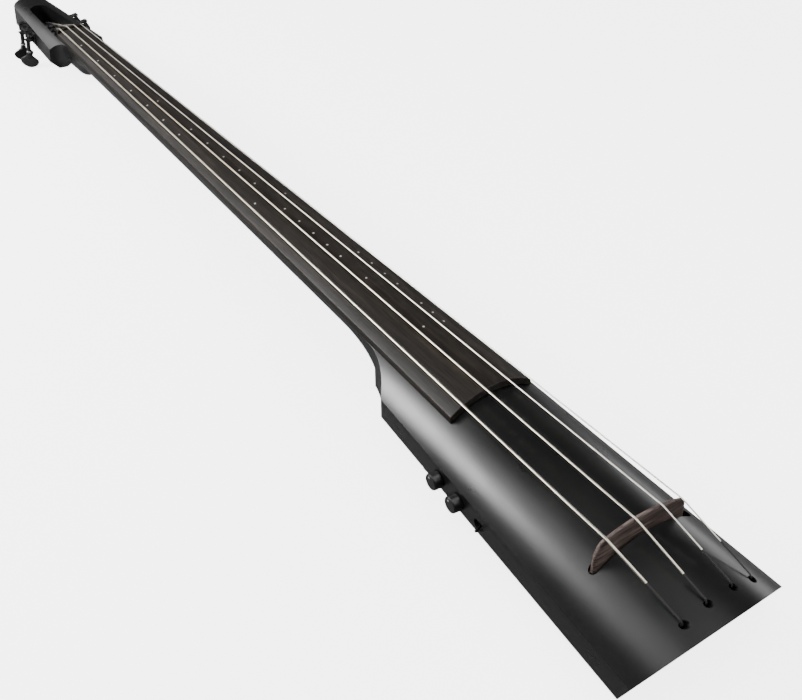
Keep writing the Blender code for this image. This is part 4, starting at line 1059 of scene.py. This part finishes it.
def make_neck():
    heel = [JOINT_Y + HEEL_LENGTH * share for share in steps(0.0, 1.0, 18)]
    volute = steps(*VOLUTE_SPAN, 32)
    places = heel + steps(*NECK_SPAN, 12) + volute + [PEGBOX_NEAR_Y]
    neck = loft("neck", [fine_neck_ring(y) for y in places])
    outline = fine_outline()
    head = loft("head", [head_ring(outline, drop, inset) for drop, inset in head_levels()])
    crown = []
    for y in (HEAD_SHOULDER_Y - 0.06, 0.24):
        top = head_edge(y) + sagitta(HEAD_HALF_NEAR, HEAD_ARC)
        surface = arc_row(CROWN_HALF, HEAD_ARC, top, y, 81)
        crown.append(surface + [Vector((CROWN_HALF, y, 0.06)), Vector((-CROWN_HALF, y, 0.06))])
    head = solid(head, [loft("crown", crown)])
    neck = solid(neck, [head], "UNION")
    low, high = TRUSS_Y
    tools = [fine_pegbox(),
             box("nut_seat", (-0.030, -0.0001, NUT_SEAT), (0.030, PEGBOX_NEAR_Y + 0.001, 0.03)),
             board_room(),
             box("channel", (-TRUSS_RADIUS - 0.0006, low - 0.005, TRUSS_FLOOR),
                 (TRUSS_RADIUS + 0.0006, high + 0.005, 0.02))]
    for name in STRING_NAMES:
        place, flip = tuner_frame(name)
        bore = bar(POST_RADIUS + RUNNING_FIT, post_inner_end(name) - GAP, 0.01, 40)
        bore.transform(AXIS_X)
        low = Vector(PLATE_LOW) - Vector((GAP, GAP, 0.0200))
        high = Vector(PLATE_HIGH) + Vector((0.01, GAP, 0.0200))
        for tool in (bore, box("seat", low, high)):
            tools.append(moved(to_machine(tool, flip), place))
    piece("fine_neck", solid(neck, tools), LACQUER, nodes=("neck",),
          bevel=0.0005, angle=26.0)


def fine_pegbox():
    centre = PEGBOX_FAR_Y - PEGBOX_HALF_FAR
    plan = [(PEGBOX_HALF_NEAR, PEGBOX_NEAR_Y)]
    for i in range(41):
        turn = pi * i / 40
        plan.append((PEGBOX_HALF_FAR * cos(turn), centre + PEGBOX_HALF_FAR * sin(turn)))
    plan.append((-PEGBOX_HALF_NEAR, PEGBOX_NEAR_Y))
    return loft("pegbox", [[Vector((x, y, z)) for x, y in plan] for z in (PEGBOX_FLOOR, 0.03)])


# ---- bridge and strings ----
def fine_bridge_ring(x):
    """The CAD section with a rounded top and soft upper edges."""
    corner = bridge_ring(x)
    foot, head, top = corner[1].y + SCALE_LENGTH, corner[2].y + SCALE_LENGTH, corner[3].z
    side = [(foot, BRIDGE_FOOT), (between(foot, head, 0.5), between(BRIDGE_FOOT, top, 0.5)),
            (head, top - 0.0012)]
    for i in range(1, 6):
        turn = radians(15 * i)
        side.append((head * cos(turn), top - 0.0012 + 0.0012 * sin(turn)))
    section = side + [(0.0, top)] + [(-y, z) for y, z in side[::-1]]
    return [Vector((x, y - SCALE_LENGTH, z)) for y, z in section]


def make_bridge():
    span = BRIDGE_RIGHT - BRIDGE_LEFT
    places = [BRIDGE_LEFT + BRIDGE_ROUND_LEFT * (1 - cos(radians(turn))) for turn in range(0, 91, 6)]
    places += steps(BRIDGE_LEFT + 0.0110, BRIDGE_LEFT + span - 0.0075, 34)
    places += [BRIDGE_RIGHT - BRIDGE_ROUND_RIGHT * (1 - sin(radians(turn)))
               for turn in range(0, 91, 6)]
    tools = []
    for index in range(4):
        point = bridge_point(index)
        radius = STRING_RADIUS[index] + STRING_SETTLE
        groove = bar(radius, -0.01, 0.01, 24)
        tools.append(moved(groove, Matrix.Translation(point) @ AXIS_Y))
        tools.append(box("mouth", (point.x - radius, -SCALE_LENGTH - 0.01, point.z),
                         (point.x + radius, -SCALE_LENGTH + 0.01, 0.02)))
    half, thick = PIEZO_HALF
    tools.append(box("slot", (-half - GAP, -SCALE_LENGTH - thick - GAP, -0.05),
                     (half + GAP, -SCALE_LENGTH + thick + GAP, BRIDGE_FOOT + PIEZO_HIGH + 2 * GAP)))
    mesh = solid(loft("bridge", [fine_bridge_ring(x) for x in places]), tools)
    piece("fine_bridge", mesh, BRIDGE_WOOD, nodes=("bridge",), bevel=0.0002, angle=40.0)


def make_strings():
    """Bright wound length, silk at the tail, dark silk round the post."""
    for index, name in enumerate(STRING_NAMES):
        radius = STRING_RADIUS[index]
        hole = hole_frame(index)
        mouth = hole.to_translation()
        nut, bridge = nut_point(index), bridge_point(index) - Vector((0, 0, STRING_SETTLE))
        behind = bridge + Vector((0, -STRING_REST, -0.0003))
        over = between(mouth, bridge, 0.05) + Vector((0, 0, 0.0013))
        silk = between(over, behind, (SILK_START[index] - over.y) / (behind.y - over.y))
        lead = nut + Vector((0, 0.0028, -0.0001))
        turns = winding(name, index)
        look = WARM_WIRE if index < 2 else PALE_WIRE
        taper = between(over, behind,
                        (SILK_START[index] - SILK_LAP - over.y) / (behind.y - over.y))
        run = [taper, silk, behind, bridge, bridge + Vector((0, STRING_REST, 0)),
               nut + Vector((0, -0.0010, 0)), lead, between(lead, turns[0], 0.72)]
        piece("fine_string_" + name, wire(run, radius), look, nodes=("string_" + name,),
              angle=60.0)
        tail = [hole @ Vector((0, 0, BALL_HOLE_DEPTH + GAP - hole_length(index))),
                hole @ Vector((0, 0, -0.0050)), hole @ Vector((0, 0.0002, -0.0022)),
                hole @ Vector((0, 0.0008, -0.0004)),
                between(mouth, over, 0.75) + Vector((0, 0, 0.0003)), over, silk]
        piece("tail_silk_" + name, wire(tail, radius * 0.95), SILK, angle=60.0)
        wrap = [between(lead, turns[0], 0.70)] + turns
        piece("post_silk_" + name, wire(wrap, radius * 0.98), SILK, angle=60.0)


def winding(name, index):
    """Turns round the post, from its top towards its own machine."""
    side = TUNER_SIDE[name]
    tilt = Matrix.Rotation(-side * WALL_LEAN, 3, "Y")
    wind = (POST_RADIUS + STRING_RADIUS[index] + GAP) / cos(radians(22.5))
    pitch = 2 * STRING_RADIUS[index] + 0.0004
    points = []
    for i in range(71):
        turn = radians(70 - 9 * i)
        along = side * (0.0010 + pitch * i / 40)
        local = Vector((along, wind * cos(turn), wind * sin(turn)))
        points.append(Vector((0, POST_Y[name], POST_Z)) + tilt @ local)
    return points


# ---- tuning machines ----
def fine_wheel():
    """Worm wheel with rounded tips, its teeth set along the worm's lead."""
    outer, inner = WHEEL_PITCH_RADIUS + ADDENDUM, WHEEL_PITCH_RADIUS - DEDENDUM
    step = 2 * pi / WHEEL_TEETH
    lead = WORM_PITCH / (2 * pi * WORM_PITCH_RADIUS)
    flank = ((inner, -0.34), (inner, -0.29), (WHEEL_PITCH_RADIUS, -0.20), (outer - 0.0001, -0.13),
             (outer, -0.09), (outer, 0.09), (outer - 0.0001, 0.13), (WHEEL_PITCH_RADIUS, 0.20),
             (inner, 0.29), (inner, 0.34))
    rings = []
    for x in steps(-WHEEL_FACE / 2, WHEEL_FACE / 2, 5):
        shift = x * lead / WHEEL_PITCH_RADIUS
        ring = []
        for tooth in range(WHEEL_TEETH):
            middle = tooth * step + step / 2 + shift
            for radius, share in flank:
                turn = middle + share * step
                ring.append(Vector((WHEEL_MID + x, radius * cos(turn), radius * sin(turn))))
        rings.append(ring)
    return loft("wheel", rings)


def fine_thread():
    """The worm's helical ridge, with rounded crests and run-outs at both ends."""
    crest, buried = WORM_PITCH_RADIUS + ADDENDUM, WORM_SHAFT_RADIUS - 0.0003
    section = ((buried, -0.29), (crest - 0.0001, -0.12), (crest, -0.08), (crest, 0.08),
               (crest - 0.0001, 0.12), (buried, 0.29))
    count = 48
    total = int(count * WORM_TURNS)
    rings = []
    for i in range(total + 1):
        turn = (i - total / 2) / count
        angle = pi + 2 * pi * turn
        fade = min(1.0, min(i, total - i) / 10)
        ring = []
        for radius, share in section:
            reach = radius - 0.0002
            if radius > buried:
                reach = between(buried - 0.0001, radius, max(0.04, fade))
            height = (turn + share) * WORM_PITCH
            ring.append(Vector((-reach * sin(angle), reach * cos(angle), height)))
        rings.append(ring)
    return loft("thread", rings)


def screw_head(radius, height):
    """A pan-head screw with a straight slot, standing on Z = 0."""
    dome = [(0.0, height)] + [(radius * sin(radians(t)),
                               height * (0.35 + 0.65 * cos(radians(t)))) for t in range(15, 91, 15)]
    head = lathe(dome + [(radius, -0.0010), (0.0, -0.0010)], 32)
    wide, narrow = radius * 1.2, radius * 0.14
    slot = box("slot", (-wide, -narrow, height * 0.45), (wide, narrow, 1.0))
    return solid(head, [slot])


def make_tuner(name):
    side = TUNER_SIDE[name]
    place, flip = tuner_frame(name)
    plate = box("plate", PLATE_LOW, PLATE_HIGH)
    lugs = []
    for level in (WORM_HALF + LUG_CLEARANCE, -WORM_HALF - LUG_CLEARANCE - LUG_THICK):
        lugs.append(box("lug", (0.0, WORM_AXIS - LUG_HALF, level),
                        (WHEEL_MID + LUG_HALF - 0.0002, WORM_AXIS + LUG_HALF, level + LUG_THICK)))
    bearing = bar(JOURNAL_RADIUS + RUNNING_FIT, -0.02, 0.02, 40)
    bearing.transform(Matrix.Translation((WHEEL_MID, WORM_AXIS, 0.0)))
    eye = bar(POST_RADIUS + RUNNING_FIT, -0.01, 0.004, 40)
    eye.transform(AXIS_X)
    plate = solid(solid(plate, lugs, "UNION"), [bearing, eye])
    piece("fine_plate_" + name, to_machine(plate, flip), BLACK_METAL, nodes=("tuner_plate_" + name,),
          place=place, bevel=0.0004)
    screws = []
    for y, z in PLATE_SCREWS:
        head = screw_head(*PLATE_SCREW_HEAD)
        head.transform(Matrix.Translation((PLATE_THICK, y, z)) @ AXIS_X)
        screws.append(to_machine(head, flip))
    piece("plate_screws_" + name, joined(screws), DARK_STEEL, place=place)

    bore = bar(WHEEL_BORE + 0.0001, -0.01, 0.02, 40)
    bore.transform(AXIS_X)
    wheel = to_machine(solid(fine_wheel(), [bore]), flip)
    piece("fine_wheel_" + name, wheel, DARK_STEEL, "post_" + name, ("worm_wheel_" + name,),
          place)
    shoulder = WHEEL_MID - WHEEL_FACE / 2 - GAP
    end = WHEEL_MID + WHEEL_FACE / 2 + 0.0012
    inner = post_inner_end(name)
    post = lathe([(0.0, end), (WHEEL_BORE - 0.0004, end), (WHEEL_BORE, end - 0.0004),
                  (WHEEL_BORE, shoulder), (POST_RADIUS - 0.0002, shoulder),
                  (POST_RADIUS, shoulder - 0.0002), (POST_RADIUS, inner + 0.0003),
                  (POST_RADIUS - 0.0003, inner), (0.0, inner)], 48)
    post.transform(AXIS_X)
    eye = bar(STRING_EYE, -0.01, 0.01, 20)
    eye.transform(Matrix.Translation((-post_seat(POST_Y[name]) - EYE_FROM_SEAT, 0.0, 0.0)))
    deep, long, wide = DRIVE_SLOT
    drive = box("drive", (end - deep, -long, -wide), (end + 0.01, long, wide))
    post = to_machine(solid(post, [eye, drive]), flip)
    piece("fine_post_" + name, post, DARK_STEEL, "post_" + name, ("string_post_" + name,),
          place)

    shaft_place = place @ Matrix.Translation((side * WHEEL_MID, WORM_AXIS, 0.0))
    body = "worm_shaft_" + name
    thread = fine_thread()
    if side < 0:
        moved(thread, Matrix.Scale(-1, 4, (1, 0, 0)))
    worm = solid(lathe(worm_profile(), 48), [thread], "UNION")
    piece("fine_worm_" + name, worm, BLACK_METAL, body, ("worm_" + name,), shaft_place,
          bevel=0.00012, angle=40.0)
    wide = BUTTON_STEM + 0.0002
    inner, upper, lower = BUTTON_STEM - 0.0006, COLLAR_TOP - 0.0002, BUTTON_TOP + 0.0001
    ring = lathe([(inner, upper), (wide - 0.0003, upper), (wide, upper - 0.0004),
                  (wide, lower + 0.0004), (wide - 0.0003, lower), (inner, lower), (inner, upper)], 48)
    piece("ferrule_ring_" + name, ring, STEEL, body, place=shaft_place)
    turn = Matrix.Rotation(BUTTON_TURN[name], 4, "Z")
    piece("fine_button_" + name, fine_button(), PLASTIC, body, ("tuner_button_" + name,),
          shaft_place @ turn, angle=50.0)


def fine_button():
    """Rounded paddle on a short stem, thinner where it spreads flat."""
    rings = []
    for z in [BUTTON_TOP - GAP] + steps(BUTTON_TOP - GAP - 0.0005, BUTTON_END, 40):
        coarse = button_ring(z)
        half = max(point.y for point in coarse)
        thick = max(point.x for point in coarse)
        flat = half / max(thick, 1e-6)
        thin = 1 - 0.16 * max(0.0, min(1.0, (flat - 1.5) / 2.0))
        ring = []
        for i in range(48):
            turn = 2 * pi * i / 48
            across = copysign(abs(cos(turn)) ** 0.9, cos(turn))
            deep = copysign(abs(sin(turn)) ** 0.7, sin(turn))
            ring.append(Vector((thick * deep * thin, half * across, z)))
        rings.append(ring)
    return loft("button", rings)


# ---- controls and fittings ----
def make_controls():
    for word, y in KNOB_Y.items():
        place = side_place(y, -1)
        knob = lathe(knob_profile(0.0030), 96)
        piece("fine_%s_knob" % word, knob, PLASTIC, word + "_control", (word + "_knob",),
              place, bevel=0.00018, angle=20.0)
        mark = bar(MARK_RADIUS, -0.0004, 0.0001, 24, 0.00085)
        mark.transform(Matrix.Translation((*MARK_PLACE, KNOB_TOP - 0.0004)))
        piece(word + "_mark", mark, DOT, word + "_control", place=place)
        piece(word + "_washer", lathe(WASHER_PROFILE, 48), BLACK_METAL, place=place)
    place = side_place(SWITCH_Y, -1)
    piece("switch_collar", lathe(SWITCH_COLLAR_PROFILE, 48), DARK_STEEL, place=place)
    pivot = place @ Matrix.Translation((0.0, 0.0, -SWITCH_PIVOT))
    lever_place = pivot @ Matrix.Rotation(SWITCH_LEAN, 4, "X")
    (tip, tail), bulb, stem = LEVER_ENDS, LEVER_BULB, LEVER_STEM
    cap = [(bulb * sin(radians(t)), tip - bulb + bulb * cos(radians(t)))
           for t in range(0, 91, 10)]
    lever = lathe(cap + [(bulb * 0.92, tip - 0.0028), (stem, 0.0020), (stem, tail), (0.0, tail)], 32)
    piece("fine_lever", lever, DARK_STEEL, "switch_lever", ("mode_switch_lever",),
          lever_place)

    place = side_place(JACK_Y, 1)
    hexagon = loft("hexagon", round_rings([(JACK_NUT_RADIUS, -0.0027), (JACK_NUT_RADIUS, -GAP)], 6))
    bore = bar(JACK_NUT_BORE, -0.01, 0.01)
    piece("fine_jack_nut", solid(hexagon, [bore]), STEEL, nodes=("jack_nut",),
          place=place, bevel=0.0003)


def make_back():
    """Cover, stand plate, ferrules and the screws that hold them."""
    (x0, y0), (x1, y1) = CAVITY
    margin = COVER_LEDGE - GAP
    cover = on_back(box("cover", (x0 - margin, y0 - margin, 0.0),
                        (x1 + margin, y1 + margin, COVER_THICK)))
    piece("fine_cover", cover, PLASTIC, nodes=("cavity_cover",), bevel=0.0004)
    low, high = STAND_Y
    plate = on_back(box("plate", (-STAND_HALF, low, 0.0), (STAND_HALF, high, STAND_THICK)))
    bores = [moved(bar(STAND_BORE, -0.2, 0.2), Matrix.Translation((x, (low + high) / 2, 0.0)))
             for x in (-STAND_BORE_X, STAND_BORE_X)]
    piece("fine_stand_plate", solid(plate, bores), BLACK_METAL, nodes=("stand_plate",),
          bevel=0.0004)
    out = COVER_SCREW_OUT
    cover_places = [(x, y) for x in (x0 - out, x1 + out)
                    for y in (y0 - out, (y0 + y1) / 2, y1 + out)]
    plate_places = [(x, y) for x in (-STAND_SCREW_X, STAND_SCREW_X)
                    for y in (low + STAND_SCREW_IN, high - STAND_SCREW_IN)]
    for name, places in (("cover_screws", cover_places), ("stand_screws", plate_places)):
        screws = []
        for x, y in places:
            head = screw_head(*BACK_SCREW_HEAD)
            place = Matrix.Translation((x, y, body_back(y) + BACK_SCREW_HEAD[1]))
            screws.append(moved(head, place @ Matrix.Rotation(pi, 4, "X")))
        piece(name, joined(screws), DARK_STEEL)
    for index, name in enumerate(STRING_NAMES):
        depth = FERRULE_SINK - hole_length(index)
        top = BALL_HOLE_DEPTH - GAP - hole_length(index)
        wide, cut, (mouth, inner) = FERRULE_RADIUS, FERRULE_CHAMFER, FERRULE_MOUTH
        profile = [(0.0, top), (wide, top), (wide, depth + cut), (wide - cut, depth),
                   (mouth, depth), (inner, depth + cut), (inner, depth + 0.0030),
                   (0.0, depth + 0.0030)]
        piece("fine_ferrule_" + name, lathe(profile, 48), BRASS, nodes=("string_ferrule_" + name,),
              place=hole_frame(index))
        ball = [(STRING_BALL * sin(radians(t)), depth + 0.0032 - STRING_BALL * cos(radians(t)))
                for t in range(180, -1, -12)]
        piece("string_ball_" + name, lathe(ball, 32), STEEL, place=hole_frame(index))


# ---- stage, light and camera ----
def stage_piece(name, mesh, grey, glow):
    """Part of the plain pale studio; glow lifts it to the white of a sweep."""
    look = new_material(name, (grey, grey, grey), 0.85, Emission_Strength=glow)
    graph = Graph(look)
    graph.shader.inputs["Emission Color"].default_value = (1.0, 1.0, 1.0, 1.0)
    pale, dull = grey * 1.01, grey * 0.99
    stops = (0.3, (dull, dull, dull)), (0.7, (pale, pale, pale))
    cloud = graph.colours(graph.noise((2.0, 2.0, 2.0)), *stops)
    graph.paint(cloud)
    mesh.materials.append(look)
    made = linked(name, mesh)
    return made


def floor_mesh():
    half = STAGE_RADIUS
    mesh = bpy.data.meshes.new("floor")
    corners = [(-half, -half, 0), (half, -half, 0), (half, half, 0), (-half, half, 0)]
    mesh.from_pydata(corners, [], [(0, 1, 2, 3)])
    return mesh


def make_stage():
    """White floor and backdrop that are only seen, and a duller floor that the instrument reflects."""
    profile = [(STAGE_RADIUS * sin(radians(t)), STAGE_RADIUS * cos(radians(t)))
               for t in range(0, 91, 5)]
    parts = (("floor", floor_mesh(), FLOOR_GLOW), ("backdrop", lathe(profile), BACKDROP_GLOW))
    for name, mesh, glow in parts:
        seen = stage_piece(name, mesh, STAGE_WHITE, glow)
        seen.visible_glossy = False
        seen.visible_diffuse = False
        seen.visible_shadow = False
    reflected = stage_piece("floor_reflected", floor_mesh(), REFLECTED_GREY, 0.0)
    reflected.visible_camera = False
    reflected.location = (0.0, 0.0, -REFLECTED_DROP)
    world = bpy.data.worlds.new("studio")
    world.use_nodes = True
    back = world.node_tree.nodes["Background"]
    back.inputs["Color"].default_value = (1.0, 1.0, 1.0, 1.0)
    back.inputs["Strength"].default_value = WORLD_STRENGTH
    bpy.context.scene.world = world


def soft_box(name, place, target, width, height, power):
    data = bpy.data.lights.new(name, "AREA")
    data.shape = "RECTANGLE"
    data.size = width
    data.size_y = height
    data.energy = power
    made = linked(name, data)
    made.location = place
    made.rotation_euler = (Vector(target) - Vector(place)).to_track_quat("-Z", "Y").to_euler()
    return made


def make_camera():
    """The photograph's view: from the tail end, above the low E string side."""
    data = bpy.data.cameras.new("camera")
    data.sensor_width = CAMERA_SENSOR
    data.sensor_fit = "HORIZONTAL"
    data.lens = CAMERA_LENS
    data.clip_start = CAMERA_CLIP
    camera = linked("camera", data)
    ahead = Vector(CAMERA_AHEAD).normalized()
    right = Vector(CAMERA_RIGHT)
    right = (right - ahead * right.dot(ahead)).normalized()
    turn = Matrix((right, right.cross(ahead), -ahead)).transposed().to_4x4()
    camera.matrix_world = DESIGN @ Matrix.Translation(CAMERA_PLACE) @ turn
    bpy.context.scene.camera = camera


make_camera()
make_stage()
for light in LIGHTS:
    soft_box(*light)
make_fingerboard()
make_dots()
make_nut()
make_body()
make_neck()
make_bridge()
make_strings()
for machine in STRING_NAMES:
    make_tuner(machine)
make_controls()
make_back()
for look, nodes in (
    (STEEL, ("truss_rod", "volume_pot", "tone_pot", "volume_shaft", "tone_shaft", "output_jack")),
    (BRASS, ("piezo_pickup", "bridge_height_screw_bass", "bridge_height_screw_treble")),
    (BLACK_METAL, ("mode_switch",)),
    (LAMINATE, ("circuit_board",)),
):
    for node in nodes:
        repaint(node, look)
